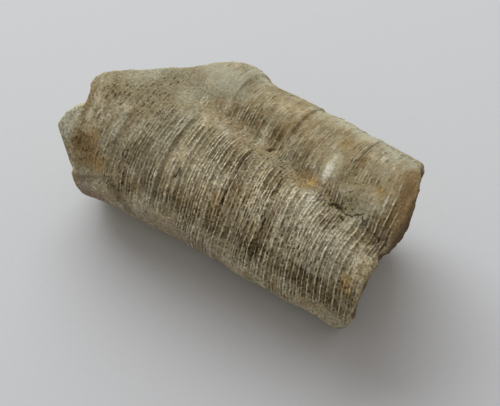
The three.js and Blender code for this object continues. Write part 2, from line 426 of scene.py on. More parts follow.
@dataclass(frozen=True)
class FossilForm:
    """The stone's form without its growth rings. Sizes are in millimetres and degrees."""

    half_width: float = 12.75
    half_height: float = 11.2
    half_depth: float = 12.1
    axis_height: float = 11.2
    squareness: float = 2.38
    roughness: float = 0.3
    edge_wear: float = 0.4
    columns: int = 200
    underside_thinning: float = 0.68
    cap_rings: int = 26
    halvings: int = 30
    row_gap: float = 0.03
    skin_edge: float = 0.45
    bared_fade: tuple[float, float] = (-0.5, 0.35)
    rim_fade: tuple[float, float] = (-3.7, -1.8)
    rim_angle: float = 88.0
    rim_spread: float = 34.0
    cap_crispness: float = 0.7
    waves: tuple[tuple[float, float, float, float], ...] = ((0.12, 2.7, 2, 0), (0.08, 1.16, -3, 1))
    groove_spread: float = 13.0
    groove_x: tuple[float, ...] = (-18, -11, -3, 5, 11, 17, 26)
    groove_angle: tuple[float, ...] = (100, 96, 89, 84, 75, 62, 50)
    groove_depth: tuple[float, ...] = (0, 0.9, 1.7, 2.0, 2.1, 2.1, 1.6)
    rings: GrowthRings = field(default_factory=GrowthRings)
    shelves: tuple[Shelf, ...] = (
        Shelf(
            (-26, -23, -21, -18.4, -16.2, -14.8, -13.8, -12.6, -11),
            (-10, -9, -8, -3, 6, 6, -2, -13, -24),
            (0.35, 0.4, 0.8, 0.9, 0.8, 0.7, 0.55, 0.35, 0),
            46,
        ),
    )
    covers: tuple[Cover, ...] = (
        Cover(-20.4, 16, 3.0, 20, 0.7),
        Cover(-23.6, 50, 2.6, 26, 0.9),
        Cover(-18.6, -22, 6.0, 17, 0.9),
        Cover(-14.5, 56, 3.0, 12, 0.6),
        Cover(-8.0, -12, 6.0, 15, 0.85),
        Cover(6.0, -16, 6.0, 12, 0.7),
        Cover(21.0, -18, 7.0, 18, 0.8),
        Cover(24.2, 34, 3.0, 22, 0.7),
        Cover(19.3, 74, 2.7, 13, 1.0),
        Cover(19.6, 60, 1.8, 9, 0.5),
        Cover(-6.4, 109, 3.6, 11, 0.95),
        Cover(-14.0, 106, 6.5, 12, 0.75),
        Cover(-5.6, 49, 1.6, 8, 0.6),
        Cover(26.2, 86, 1.5, 60, 0.9),
        Cover(-16.0, 84, 8.0, 24, 0.5),
        Cover(4.6, 74, 3.2, 9, 0.8),
        Cover(10.6, 72, 2.6, 9, 0.85),
        Cover(13.4, 84, 1.5, 9, 0.6),
        Cover(-6.0, 80, 9.0, 14, 0.45),
        Cover(-19.0, 60, 5.0, 24, 0.4),
    )
    lumps: tuple[Lump, ...] = (
        Lump(-9.0, 137, 4.1, 24, 1.8),
        Lump(-20.8, -23, 3.2, 15, 0.35),
        Lump(21.8, -8, 5.3, 24, -0.5),
        Lump(21, 128, 5, 20, -0.8),
        Lump(0.5, 150, 4, 24, 0.3),
        Lump(-2.8, 28, 14, 31, 0.23),
        Lump(16, 113, 12.6, 18, 0.33),
        Lump(9.5, 74, 2.6, 9, -0.5),
        Lump(-21.2, 66, 2.8, 13, 0.5),
        Lump(-2, -37, 13, 18, -0.35),
    )
    ledges: tuple[Ledge, ...] = (
        Ledge(-15.2, 12, 62, 2.4, 0.3),
        Ledge(-7.7, 18, 66, 3.0, 0.28),
        Ledge(2.6, 22, 78, 3.6, 0.55),
        Ledge(9.2, -5, 60, 3.2, 0.42),
        Ledge(5.6, 95, 150, 3.2, 0.3),
        Ledge(16.8, 82, 150, 3.6, 0.16),
        Ledge(-4.6, 100, 160, 3.2, 0.28),
    )
    breaks: tuple[FlatBreak, ...] = (
        FlatBreak((-7.9, 10.6, 20.2), (-0.59, 0.65, 0.33), 1.2),
        FlatBreak((-26.4, -8.9, 15), (-1, -0.59, -0.32), 1.3, 0.45),
        FlatBreak((23.4, -9.4, 4.9), (0.86, -0.36, -0.42), 1.5, 0.6),
        FlatBreak((23.2, 8.3, 19.9), (0.75, 0.66, 0.27), 1.3),
    )
    left_end: BrokenEnd = BrokenEnd(
        at=(-22.8, -3.3, 20),
        faces=(-1, 0.183, 0.066),
        swellings=(
            Swelling(-9, 14.2, 3.6, 1.0),
            Swelling(-11.8, 4.4, 4.5, 0.4),
            Swelling(4, 8, 5, -0.9),
            Swelling(-8.4, 20.8, 2.3, -1.4),
        ),
        step_at=(-7.2, 18),
        step_faces=(-0.75, -0.66),
        step_height=0.5,
    )
    right_end: BrokenEnd = BrokenEnd(
        at=(24.6, -10.5, 14),
        faces=(1, 0.176, -0.216),
        swellings=(
            Swelling(0.4, 17.6, 5.0, 1.25),
            Swelling(9.3, 19.2, 5.3, -0.8),
            Swelling(-2, 7, 4.5, -0.8),
            Swelling(-11.5, 6, 4.5, 0.7),
        ),
        step_at=(-5.2, 17.2),
        step_faces=(0.8, 0.6),
        step_height=0.5,
        brown=1.0,
    )

    def skin_radius(self, x: np.ndarray, angle: np.ndarray) -> np.ndarray:
        """Finds the radius of the unbroken skin, rings left out.

        Args:
            x: the place along the axis.
            angle: the angle round it.

        Returns:
            The radius at each place.
        """
        a = angle * DEGREE
        across = np.abs(np.cos(a)) / self.half_width
        rise = np.sin(a)
        upright = np.abs(rise) / np.where(rise < 0, self.half_depth, self.half_height)
        radius = (across**self.squareness + upright**self.squareness) ** (-1 / self.squareness)
        groove = np.interp(x, self.groove_x, self.groove_angle)
        depth = np.interp(x, self.groove_x, self.groove_depth)
        radius = radius - depth * bell(angle_gap(angle, groove) / self.groove_spread)
        radius = radius + sum(lump.height_at(x, angle) for lump in self.lumps)
        for height, length, turns, start in self.waves:
            radius = radius + height * np.sin(x / length + turns * a + start)
        ring_x = self.rings.place_of(x, angle)
        return radius + sum(ledge.height_at(ring_x, angle) for ledge in self.ledges)

    def past_groove(self, x: np.ndarray, angle: np.ndarray) -> np.ndarray:
        """Gives how many degrees past the groove a place lies, over towards the back."""
        return angle_gap(angle, np.interp(x, self.groove_x, self.groove_angle))

    def ring_strength(self, x: np.ndarray, angle: np.ndarray) -> np.ndarray:
        """Finds how strongly the rings stand out.

        Args:
            x: the place along the axis.
            angle: the angle round it.

        Returns:
            The rings' strength, from 0 to 1.
        """
        beyond = self.past_groove(x, angle)
        underside = ease(80, 130, np.abs(angle_gap(angle, 90)))
        back = ease(2, 22, beyond)
        front_slope = bell((beyond + 12) / 15)
        left = ease(4, 16, -x)
        left_top = ease(12, 18, -x) * ease(30, 60, angle)
        in_groove = bell((beyond + 2) / 13) * ease(-13, -6, x) * ease(-22, -17, -x)
        front = ease(-4, 4, x) * bell(angle_gap(angle, 30) / 42)
        right_strip = ease(19.5, 22.5, x) * bell(angle_gap(angle, 68) / 18)
        strength = zone_product(
            (-0.6, underside), (-0.68, back), (-0.2, front_slope), (-0.6, left), (-0.35, left_top),
            (-0.6, in_groove), (0.25, front), (1.1, right_strip),
        )
        for cover in self.covers:
            strength = strength * cover.bared_at(x, angle)
        return strength

    def crispness(self, x: np.ndarray, angle: np.ndarray, skin: np.ndarray) -> np.ndarray:
        """Finds how crisp the fine markings are: crispest on the right of the front, soft over the back.

        Args:
            x: the place along the axis.
            angle: the angle round it.
            skin: how much of the ringed skin is left.

        Returns:
            The crispness, 1 where it is plain.
        """
        beyond = self.past_groove(x, angle)
        front = ease(-8, 4, x) * bell(angle_gap(angle, 32) / 45)
        back = ease(-4, 24, beyond)
        left = ease(5, 20, -x) * ease(15, 70, angle_gap(angle, 0))
        front_slope = bell((beyond + 12) / 15)
        right_strip = ease(19.5, 22.5, x) * bell((beyond - 15) / 24)
        middle = bell((x + 3) / 5) * bell(angle_gap(angle, 52) / 36)
        shoulder = ease(4, 8, x) * bell(angle_gap(angle, 57) / 12)
        crisp = zone_product(
            (0.62, front), (-0.7, back), (-0.25, left), (-0.3, front_slope), (0.8, right_strip),
            (-0.25, middle), (-0.15, shoulder),
        )
        return crisp * (0.6 + 0.4 * ease(0.0, 0.5, skin))

    def stone_points(
        self, x: np.ndarray, angle: np.ndarray, edge_gap: Optional[np.ndarray] = None
    ) -> tuple[np.ndarray, np.ndarray]:
        """Finds points of the stone's surface.

        Args:
            x: the place along the axis.
            angle: the angle round it.
            edge_gap: how far along x each place lies inside the nearer broken end, where its
                edge is to be worn round.

        Returns:
            The points, and how much of the ringed skin is left at each, from 0 to 1.
        """
        a = angle * DEGREE
        radius = self.skin_radius(x, angle)
        skin = np.ones_like(radius)
        for part in self.breaks:
            limit = part.radius_at(x, angle, self.axis_height, self.roughness)
            left = ease(*self.bared_fade, limit - radius)
            skin = np.minimum(skin, 1 - part.bared * (1 - left))
            limit = np.minimum(limit, radius + 2 * part.wear + 1)
            radius = worn_minimum(radius, limit, part.wear)
        radius = radius + sum(shelf.height_at(x, angle) for shelf in self.shelves)
        if edge_gap is not None:
            worn = np.clip(1 - edge_gap / self.edge_wear, 0, 1)
            radius = radius - self.edge_wear * (1 - np.sqrt(1 - worn**2))
        downwards = -np.sin(a)
        reach = self.axis_height / np.maximum(downwards, EDGE_ON)
        radius = np.where(downwards > EDGE_ON, np.minimum(radius, reach), radius)
        z = self.axis_height + radius * np.sin(a)
        points = np.stack([x, -radius * np.cos(a), np.where(np.abs(z) < ON_GROUND, 0, z)], -1)
        return points, skin

    def end_edge(self, end: BrokenEnd, angle: np.ndarray) -> np.ndarray:
        """Finds the x at which the skin meets a broken end, by halving.

        Args:
            end: the broken end.
            angle: the angles at which it is found.

        Returns:
            The x of the edge at each angle.
        """
        inside = np.zeros_like(angle)
        outside = np.full_like(angle, end.out * (self.rings.reach + 5))
        for _ in range(self.halvings):
            middle = (inside + outside) / 2
            points, _skin = self.stone_points(middle, angle)
            past = end.out * (middle - end.x_at(points[..., 1], points[..., 2])) > 0
            outside = np.where(past, middle, outside)
            inside = np.where(past, inside, middle)
        return (inside + outside) / 2

    def column_angles(self) -> np.ndarray:
        """Spaces the columns round the axis, further apart underneath.

        Returns:
            The angle of each column.
        """
        fine = np.linspace(0, 360, 3601)
        underneath = 1 - ease(22, 40, np.abs(angle_gap(fine, 270)))
        density = 1 - self.underside_thinning * underneath
        filled = np.concatenate([[0], np.cumsum((density[1:] + density[:-1]) / 2)])
        wanted = np.arange(self.columns) / self.columns * filled[-1]
        return np.interp(wanted, filled, fine)

    def _skin(self) -> tuple[np.ndarray, np.ndarray, dict[str, np.ndarray]]:
        """Lays the skin between the broken ends, in rows of points along the rings.

        Returns:
            The points, their numbers row by row, and their values. A row that would run past
            an end takes the points of its edge.
        """
        angle = self.column_angles()
        left, right = self.end_edge(self.left_end, angle), self.end_edge(self.right_end, angle)
        row_x, row_place = self.rings.rows()
        x = row_x[:, None] + self.rings.stray(row_x[:, None], angle[None, :])
        skin_x = np.clip(x, left, right)
        columns = range(self.columns)
        place = np.stack([np.interp(skin_x[:, j], x[:, j], row_place) for j in columns], 1)
        first = np.argmax(x > left + self.row_gap, axis=0) - 1
        last = x.shape[0] - np.argmax(x[::-1] < right - self.row_gap, axis=0)
        row = np.arange(x.shape[0])[:, None]
        x = np.where(row <= first, left, np.where(row >= last, right, skin_x))
        numbers = np.clip(row, first, last) * self.columns + np.array(columns)[None, :]

        gap = np.minimum(x - left, right - x)
        around = np.broadcast_to(angle[None, :], x.shape)
        points, skin = self.stone_points(x, around, gap)
        skin = skin * ease(0.0, self.skin_edge, gap)
        top = angle_gap(around, self.rim_angle) / self.rim_spread
        values = {
            "ring": place,
            "skin": skin,
            "strength": self.ring_strength(x, around),
            "crisp": self.crispness(x, around, skin),
            "rim": ease(*self.rim_fade, x - right) * bell(top**2),
        }
        return points.reshape(-1, 3), numbers, {key: value.ravel() for key, value in values.items()}

    def _cap(self, end: BrokenEnd, rim: np.ndarray) -> tuple[np.ndarray, dict[str, np.ndarray]]:
        """Fills a broken end from its middle out to its rim.

        Args:
            end: the broken end.
            rim: the points of its rim.

        Returns:
            The middle and the rings of points round it, from the inside outwards, and their values.
        """
        middle = rim.mean(0)
        shares = np.linspace(0, 1, self.cap_rings + 1)[:-1]
        rings = middle + (rim[None, :, :] - middle) * shares[:, None, None]
        rings[..., 0] = end.x_at(rings[..., 1], rings[..., 2])
        drift = (rim[:, 0] - end.x_at(rim[:, 1], rim[:, 2]))[None, :]
        rings[..., 0] += drift * (shares**6)[:, None]
        points = np.vstack([rings[0, :1], rings[1:].reshape(-1, 3)])
        share = np.concatenate([[0], np.repeat(shares[1:], self.columns)])
        values = {"crisp": np.full_like(share, self.cap_crispness), "rim": end.brown_at(points, share)}
        return points, values

    def mesh(self) -> FormMesh:
        """Builds the whole form.

        Returns:
            The form as a closed mesh, with what the relief and the finish read at its points.
        """
        points, numbers, values = self._skin()
        faces = [self._bands(numbers)]
        for end, rim, flip in ((self.left_end, numbers[0], False), (self.right_end, numbers[-1], True)):
            middle = len(points)
            cap, cap_values = self._cap(end, points[rim])
            rings = middle + np.arange(1, len(cap)).reshape(-1, self.columns)
            fan = np.stack([np.full_like(rim, middle), rings[0], np.roll(rings[0], -1)], -1)
            faces += [self._bands(np.vstack([rings, rim]), flip), fan[:, ::-1] if flip else fan]
            points = np.vstack([points, cap])
            plain = np.zeros(len(cap))
            values = {key: np.append(value, cap_values.get(key, plain)) for key, value in values.items()}
        used, renumbered = np.unique(np.vstack(faces), return_inverse=True)
        values = {key: value[used] for key, value in values.items()}
        return FormMesh(points[used], renumbered.reshape(-1, 3), values)

    @staticmethod
    def _bands(grid: np.ndarray, flip: bool = False) -> np.ndarray:
        """Joins rows of points into triangles, and drops those that closed up.

        Args:
            grid: the points' numbers, row by row, each row going round.
            flip: whether the triangles are turned over.

        Returns:
            The triangles.
        """
        a, b = grid[:-1], grid[1:]
        a2, b2 = np.roll(a, -1, 1), np.roll(b, -1, 1)
        quads = np.concatenate([np.stack([a, b2, a2], -1), np.stack([a, b, b2], -1)], 1)
        triangles = quads.reshape(-1, 3)
        kept = triangles[np.all(triangles != np.roll(triangles, -1, 1), axis=1)]
        return kept[:, ::-1] if flip else kept


# ---- Objects, node groups and their wiring ----


def new_object(name: str, data: bpy.types.ID) -> bpy.types.Object:
    """Puts a mesh, a light or a camera into the scene.

    Args:
        name: the object's name.
        data: what the object shows.

    Returns:
        The object.
    """
    thing = bpy.data.objects.new(name, data)
    bpy.context.scene.collection.objects.link(thing)
    return thing


class Wiring:
    """Adds nodes to one node tree and joins them up."""

    def __init__(self, tree: bpy.types.NodeTree) -> None:
        """Takes the tree that the nodes go into."""
        self.tree = tree

    def node(
        self, kind: str, inputs: Optional[Mapping[Any, Value]] = None, **settings: Any
    ) -> bpy.types.Node:
        """Adds a node.

        Args:
            kind: the node's type.
            inputs: what each input holds or is joined to, by its name or number.
            **settings: the node's own properties.

        Returns:
            The node.
        """
        node = self.tree.nodes.new(kind)
        for key, value in settings.items():
            setattr(node, key, value)
        for key, value in (inputs or {}).items():
            self.feed(node.inputs[key], value)
        return node

    def feed(self, socket: Socket, value: Value) -> None:
        """Joins a socket to another, or sets the value that it holds.

        Args:
            socket: an input of a node.
            value: what it is joined to, or holds.
        """
        if isinstance(value, bpy.types.NodeSocket):
            self.tree.links.new(value, socket)
        else:
            socket.default_value = value

    def math(self, operation: str, *values: Value, clamp: bool = False) -> Socket:
        """Adds a Math node and gives its output."""
        inputs = dict(enumerate(values))
        return self.node("ShaderNodeMath", inputs, operation=operation, use_clamp=clamp).outputs[0]

    def times(self, *values: Value) -> Socket:
        """Multiplies values, from left to right."""
        return reduce(partial(self.math, "MULTIPLY"), values)

    def plus(self, *values: Value) -> Socket:
        """Adds values up, from left to right."""
        return reduce(partial(self.math, "ADD"), values)

    def minus(self, a: Value, b: Value) -> Socket:
        """Takes the second value away from the first."""
        return self.math("SUBTRACT", a, b)

    def most(self, a: Value, b: Value) -> Socket:
        """Gives the larger of two values."""
        return self.math("MAXIMUM", a, b)

    def line(self, value: Value, slope: Value, start: Value, clamp: bool = False) -> Socket:
        """Gives a value times a slope, plus a start."""
        return self.math("MULTIPLY_ADD", value, slope, start, clamp=clamp)

    def vector(self, operation: str, *values: Value, scale: Optional[Value] = None) -> Socket:
        """Adds a Vector Math node.

        Args:
            operation: what the node does.
            *values: its vectors.
            scale: the factor of a SCALE node.

        Returns:
            The node's vector, or its value for LENGTH, DISTANCE and DOT_PRODUCT.
        """
        node = self.node("ShaderNodeVectorMath", dict(enumerate(values)), operation=operation)
        if scale is not None:
            self.feed(node.inputs["Scale"], scale)
        return node.outputs["Value" if operation in {"LENGTH", "DISTANCE", "DOT_PRODUCT"} else "Vector"]

    def noise(
        self, vector: Socket, scale: float, detail: float = 2.0, roughness: float = 0.5, stretch: float = 0.0
    ) -> Socket:
        """Adds a Noise Texture.

        Args:
            vector: where it is read.
            scale: how many features fit in a unit.
            detail: how many finer layers it has.
            roughness: how strong they are.
            stretch: how far the noise bends itself.

        Returns:
            The noise's value, mostly from 0.3 to 0.7.
        """
        names = ("Vector", "Scale", "Detail", "Roughness", "Distortion")
        inputs = dict(zip(names, (vector, scale, detail, roughness, stretch)))
        return self.node("ShaderNodeTexNoise", inputs).outputs[0]

    def swing(self, vector: Socket, *settings: float) -> Socket:
        """Adds a Noise Texture and moves its value down to swing about 0."""
        return self.minus(self.noise(vector, *settings), 0.5)

    def cells(self, vector: Socket, scale: float, randomness: float = 1.0) -> tuple[Socket, Socket]:
        """Adds a Voronoi Texture.

        Args:
            vector: where it is read.
            scale: how many cells fit in a unit.
            randomness: how far each cell's middle strays from a grid.

        Returns:
            The distance to the nearest middle, and a random colour for its cell.
        """
        node = self.node("ShaderNodeTexVoronoi", {"Vector": vector, "Scale": scale, "Randomness": randomness})
        return node.outputs["Distance"], node.outputs["Color"]

    def ramp(
        self, value: Socket, low: float, high: float, to_low: float = 0.0, to_high: float = 1.0
    ) -> Socket:
        """Adds a smooth Map Range.

        Args:
            value: what is read.
            low: where the ramp starts.
            high: where it ends.
            to_low: what it gives at the start.
            to_high: what it gives at the end.

        Returns:
            The ramp's value.
        """
        names = ("Value", "From Min", "From Max", "To Min", "To Max")
        inputs = dict(zip(names, (value, low, high, to_low, to_high)))
        return self.node("ShaderNodeMapRange", inputs, interpolation_type="SMOOTHSTEP").outputs[0]

    def blend(self, share: Value, a: Value, b: Value, mode: str = "MIX") -> Socket:
        """Mixes a share of a second colour into a first one and gives the mixed colour."""
        inputs = {0: share, 6: a, 7: b}
        return self.node("ShaderNodeMix", inputs, data_type="RGBA", blend_type=mode).outputs[2]

    def combine(self, x: Value, y: Value, z: Value) -> Socket:
        """Adds a Combine XYZ node and gives its output."""
        return self.node("ShaderNodeCombineXYZ", {0: x, 1: y, 2: z}).outputs[0]

    def split(self, vector: Socket) -> tuple[Socket, Socket, Socket]:
        """Adds a Separate XYZ node and gives its three outputs."""
        return tuple(self.node("ShaderNodeSeparateXYZ", {0: vector}).outputs[:3])

    def ringwise(self, ring: Socket, y: Socket, z: Socket, across: float, along: float) -> Socket:
        """Gives a place that moves at one speed from ring to ring and at another along a ring."""
        return self.combine(self.times(ring, across), self.times(y, along), self.times(z, along))

    def use(self, group: bpy.types.NodeTree, inputs: Mapping[str, Value]) -> Any:
        """Adds a node of a shader group and gives its outputs."""
        return self.node("ShaderNodeGroup", inputs, node_tree=group).outputs

    def surface(self, colour: Socket, matt: Value, height: Socket, bump: float, specular: float) -> None:
        """Adds the shader of a plain surface and the output of its material.

        Args:
            colour: the base colour.
            matt: the roughness.
            height: the height of the bump, in millimetres.
            bump: how strong the bump is.
            specular: how strongly the surface mirrors light.
        """
        raised = self.node("ShaderNodeBump", {"Height": height, "Strength": bump, "Distance": MM})
        inputs = {"Base Color": colour, "Roughness": matt, "Normal": raised.outputs[0]}
        inputs["Specular IOR Level"] = specular
        shader = self.node("ShaderNodeBsdfPrincipled", inputs)
        self.node("ShaderNodeOutputMaterial", {"Surface": shader.outputs[0]})


def new_group(
    name: str, kind: str, ins: Mapping[str, str], outs: Mapping[str, str]
) -> tuple[bpy.types.NodeTree, Wiring, Any, Any]:
    """Starts a node group.

    Args:
        name: the group's name.
        kind: the type of its tree.
        ins: the name of each input and the kind of its socket.
        outs: the same for its outputs.

    Returns:
        The group, its wiring, what it is given, and the sockets that it puts out.
    """
    tree = bpy.data.node_groups.new(name, kind)
    for way, sockets in (("INPUT", ins), ("OUTPUT", outs)):
        for key, socket in sockets.items():
            tree.interface.new_socket(key, in_out=way, socket_type=f"NodeSocket{socket}")
    w = Wiring(tree)
    return tree, w, w.node("NodeGroupInput").outputs, w.node("NodeGroupOutput").inputs


def new_material(name: str) -> tuple[bpy.types.Material, Wiring]:
    """Starts a material.

    Args:
        name: the material's name.

    Returns:
        The material, without nodes, and its wiring.
    """
    material = bpy.data.materials.new(name)
    material.use_nodes = True
    material.node_tree.nodes.clear()
    return material, Wiring(material.node_tree)


# ---- Growth rings, pits and rough breaks, as Geometry Nodes ----


@dataclass(frozen=True)
class StoneRelief:
    """Raises the rings and the rough of the stone out of the plain form. Heights are in millimetres."""

    ring_depth: float = 0.27
    fine_ring_depth: float = 0.19
    undulation: float = 0.16
    break_roughness: float = 0.55
    grain: float = 0.06
    pit_depth: float = 0.3
    seed: int = 7
    valley_share: float = 0.4
    crest_sharpness: float = 3.5
    fine_ring_stray: float = 0.18
    fine_ring_shade: float = 0.85
    swells_per_mm: float = 0.32
    breaks_per_mm: float = 0.42
    grains_per_mm: float = 2.3
    pits_per_mm: float = 0.62
    pit_rarity: float = 0.72
    pit_steepness: float = 3.0
    grounded_below: float = 0.004

    def _sizes(self) -> dict[str, float]:
        """Gives the sizes that the tree takes, by the names of its inputs."""
        names = ("ring_depth", "fine_ring_depth", "undulation", "break_roughness", "grain", "pit_depth")
        return {name.capitalize().replace("_", " "): getattr(self, name) for name in names}

    def _crests(
        self, w: Wiring, given: Any, place: Socket, ring: Socket, along: Socket
    ) -> tuple[Socket, Socket]:
        """Shapes the crests of the rings and of the finer rings between them.

        Each ring has a height of its own, and fades and breaks up along its way round.

        Args:
            w: the tree's wiring.
            given: the tree's inputs.
            place: the place on the stone, in millimetres.
            ring: the place counted in rings.
            along: a place that changes slowly along the rings.

        Returns:
            How near a crest the place is, from 0 to about 1, and the crests' height.
        """
        beads = w.ramp(w.noise(place, 1.15, 3.0), 0.35, 0.65, 0.6, 1.25)
        shapes, heights = [], []
        for offset, depth, low, high, scale, stray in (
            (0.0, "Ring depth", 0.5, 1.2, 1.0, 0.0),
            (0.5, "Fine ring depth", -0.55, 1.3, 1.4, self.fine_ring_stray),
        ):
            count = w.plus(ring, offset)
            own, astray = (
                w.node(
                    "FunctionNodeRandomValue",
                    {"ID": w.math("ROUND", count), "Seed": seed, 2: least, 3: largest},
                    data_type="FLOAT",
                ).outputs[1]
                for seed, least, largest in (
                    (given["Seed"], low, high),
                    (w.plus(given["Seed"], 5.0), -stray, stray),
                )
            )
            turn = w.math("COSINE", w.times(w.plus(count, astray), 2 * np.pi))
            crest = w.math("POWER", w.line(turn, 0.5, 0.5), self.crest_sharpness)
            fading = w.noise(w.vector("ADD", along, (7.3 * offset, 1.1, 0.4)), scale, 3.0)
            crest = w.times(crest, w.most(own, 0.0), w.ramp(fading, 0.34, 0.6, 0.3, 1.2), beads)
            shapes.append(crest)
            heights.append(w.times(crest, given[depth]))
        return w.most(shapes[0], w.times(shapes[1], self.fine_ring_shade)), w.most(*heights)

    def _tree(self) -> bpy.types.NodeTree:
        """Builds the node tree.

        Returns:
            The tree, with its sizes as named inputs.
        """
        ins = {"Geometry": "Geometry", **dict.fromkeys(self._sizes(), "Float"), "Seed": "Int"}
        ins["Material"] = "Material"
        tree, w, given, out = new_group("Stone relief", "GeometryNodeTree", ins, {"Geometry": "Geometry"})
        ring, skin, strength, rim = (
            w.node("GeometryNodeInputNamedAttribute", {"Name": name}, data_type="FLOAT").outputs["Attribute"]
            for name in ("ring", "skin", "strength", "rim")
        )
        place = w.vector("SCALE", w.node("GeometryNodeInputPosition").outputs[0], scale=1 / MM)
        _x, y, z = w.split(place)

        # The rings, where they are left.
        relief, height = self._crests(w, given, place, ring, w.ringwise(ring, y, z, 0.35, 0.24))
        ragged = w.times(w.swing(place, 0.75, 4.0, 0.6), 1.3)
        left = w.times(w.ramp(w.plus(strength, ragged), 0.15, 0.85), skin)
        height = w.times(w.minus(height, w.times(given["Ring depth"], self.valley_share)), left)

        # Low swells everywhere, rough stone on the breaks, sandy grain and pits.
        bare = w.times(w.minus(1.0, skin), w.line(rim, -0.7, 1.0))
        swell = w.times(w.swing(place, self.swells_per_mm, 3.0), w.times(given["Undulation"], 2.2))
        broken = w.swing(place, self.breaks_per_mm, 6.0, 0.62, 0.35)
        rough = w.times(broken, given["Break roughness"], w.times(bare, 3.0))
        sand = w.times(w.swing(place, self.grains_per_mm, 3.0, 0.6), given["Grain"], 3.0)
        shaken = w.vector("ADD", place, w.combine(w.noise(place, 0.8), 0.3, 0.1))
        reach, colour = w.cells(shaken, self.pits_per_mm)
        rare = w.math("GREATER_THAN", w.split(colour)[0], self.pit_rarity)
        cone = w.line(reach, -self.pit_steepness, 1.0, clamp=True)
        hole = w.times(cone, rare, w.times(given["Pit depth"], -1.0))
        height = w.plus(height, swell, rough, sand, hole)

        # The underside stays flat on the ground.
        normal = w.node("GeometryNodeInputNormal").outputs[0]
        moved_x, moved_y, moved_z = w.split(w.vector("ADD", place, w.vector("SCALE", normal, scale=height)))
        grounded = w.math("LESS_THAN", z, self.grounded_below)
        lifted = w.times(w.most(moved_z, 0.0), w.minus(1.0, grounded))
        settled = w.vector("SCALE", w.combine(moved_x, moved_y, lifted), scale=MM)

        stone = given["Geometry"]
        stored = {"data_type": "FLOAT", "domain": "POINT"}
        for kind, inputs, settings in (
            ("StoreNamedAttribute", {"Name": "relief", "Value": relief}, stored),
            ("StoreNamedAttribute", {"Name": "strength", "Value": left}, stored),
            ("SetPosition", {"Position": settled}, {}),
            ("SetShadeSmooth", {}, {}),
            ("RealizeInstances", {}, {}),
            ("SetMaterial", {"Material": given["Material"]}, {}),
        ):
            stone = w.node(f"GeometryNode{kind}", {"Geometry": stone, **inputs}, **settings).outputs[0]
        w.feed(out["Geometry"], stone)
        return tree

    def raise_on(self, form: bpy.types.Object, material: bpy.types.Material, name: str) -> bpy.types.Object:
        """Raises the relief on a form.

        Args:
            form: the plain form.
            material: what the stone is dressed in.
            name: the finished piece's name.

        Returns:
            The finished piece, a plain mesh. The form is gone.
        """
        tree = self._tree()
        modifier = form.modifiers.new("Stone relief", "NODES")
        modifier.node_group = tree
        wanted = {**self._sizes(), "Seed": self.seed, "Material": material}
        for socket in tree.interface.items_tree:
            if getattr(socket, "in_out", "") == "INPUT" and socket.name in wanted:
                modifier[socket.identifier] = wanted[socket.name]
        graph = bpy.context.evaluated_depsgraph_get()
        mesh = bpy.data.meshes.new_from_object(form.evaluated_get(graph), depsgraph=graph)
        mesh.name = name
        form.modifiers.remove(modifier)
        bpy.data.objects.remove(form)
        return new_object(name, mesh)


# ---- The stone's finish ----


class Tone(Enum):
    """The stone's colours, and the darks that paint its shade, linear red, green and blue."""

    BUFF = (0.500, 0.417, 0.245)
    PALE = (0.820, 0.770, 0.590)
    GREEN_GREY = (0.430, 0.405, 0.285)
    OLIVE = (0.320, 0.255, 0.138)
    SOIL_AND_SHADE = (0.215, 0.150, 0.058)
    DARK = (0.122, 0.079, 0.020)
    MAUVE_GREY = (0.310, 0.240, 0.175)
    RUST = (0.300, 0.195, 0.075)
    UMBER = (0.310, 0.220, 0.115)
    OCHRE = (0.520, 0.330, 0.110)
    WHITE = (0.860, 0.820, 0.670)
    CREAM = (0.860, 0.775, 0.540)
    ASH = (0.560, 0.550, 0.410)
    LICHEN = (0.660, 0.655, 0.490)
    DRAB = (0.290, 0.262, 0.172)
    BROWN = (0.170, 0.100, 0.038)
    RIM_SHADE = (0.072, 0.042, 0.016)
    PIT_AND_SHADE = (0.050, 0.033, 0.010)

    @property
    def rgba(self) -> tuple[float, float, float, float]:
        """Gives the colour with a full alpha."""
        return (*self.value, 1.0)


@dataclass(frozen=True)
class Patch:
    """A soft-edged patch: its middle and its reach each way in millimetres, and how strong it is."""

    at: Triple
    size: Triple
    strength: float
    ragged: float = 0.5

    def amount_at(self, points: np.ndarray) -> np.ndarray:
        """Gives how strong the patch is at each of many points."""
        away = np.linalg.norm((points - np.array(self.at)) / np.array(self.size), axis=-1)
        return self.strength * (1 - ease(0.3, 1.35, away))


@dataclass(frozen=True)
class Stain(Patch):
    """A patch of another colour, for a stain and in a few places for painted shade."""

    tone: Tone = Tone.RUST


@dataclass(frozen=True)
class DarkLine:
    """A thin dark line that runs from point to point in millimetres, seen along its squashed axis. Most are
    cracks; some are painted shadows along ledges and a crease.
    """

    path: tuple[Triple, ...]
    width: float
    strength: float = 0.85
    squash: Triple = (1.0, 1.0, 0.25)


@dataclass(frozen=True)
class Holes:
    """One kind of small hole, a few in a grid of cells, and how the dirt and painted shade bring it out.

    Holes in rows run along the rings and have two scales: across the rings and along them.
    """

    size: tuple[float, float]
    rarity: float
    dirt_and_shade: tuple[float, float, float, float]
    scale: float = 1.0
    stray: float = 1.0
    rows: Optional[tuple[float, float]] = None


@dataclass(frozen=True)
class Spot:
    """What the finish reads at one spot of the stone.

    These are its place in millimetres, plain and stirred, its place counted in rings, and the
    other values that the form and the relief leave at the stone's points.
    """

    place: Socket
    stirred: Socket
    y: Socket
    z: Socket
    ring: Socket
    skin: Socket
    strength: Socket
    relief: Socket
    soil_and_shade: Socket
    crisp: Socket
    rim: Socket

    def ringwise(self, w: Wiring, across: float, along: float) -> Socket:
        """Gives a place that moves at one speed from ring to ring and at another along a ring."""
        return w.ringwise(self.ring, self.y, self.z, across, along)


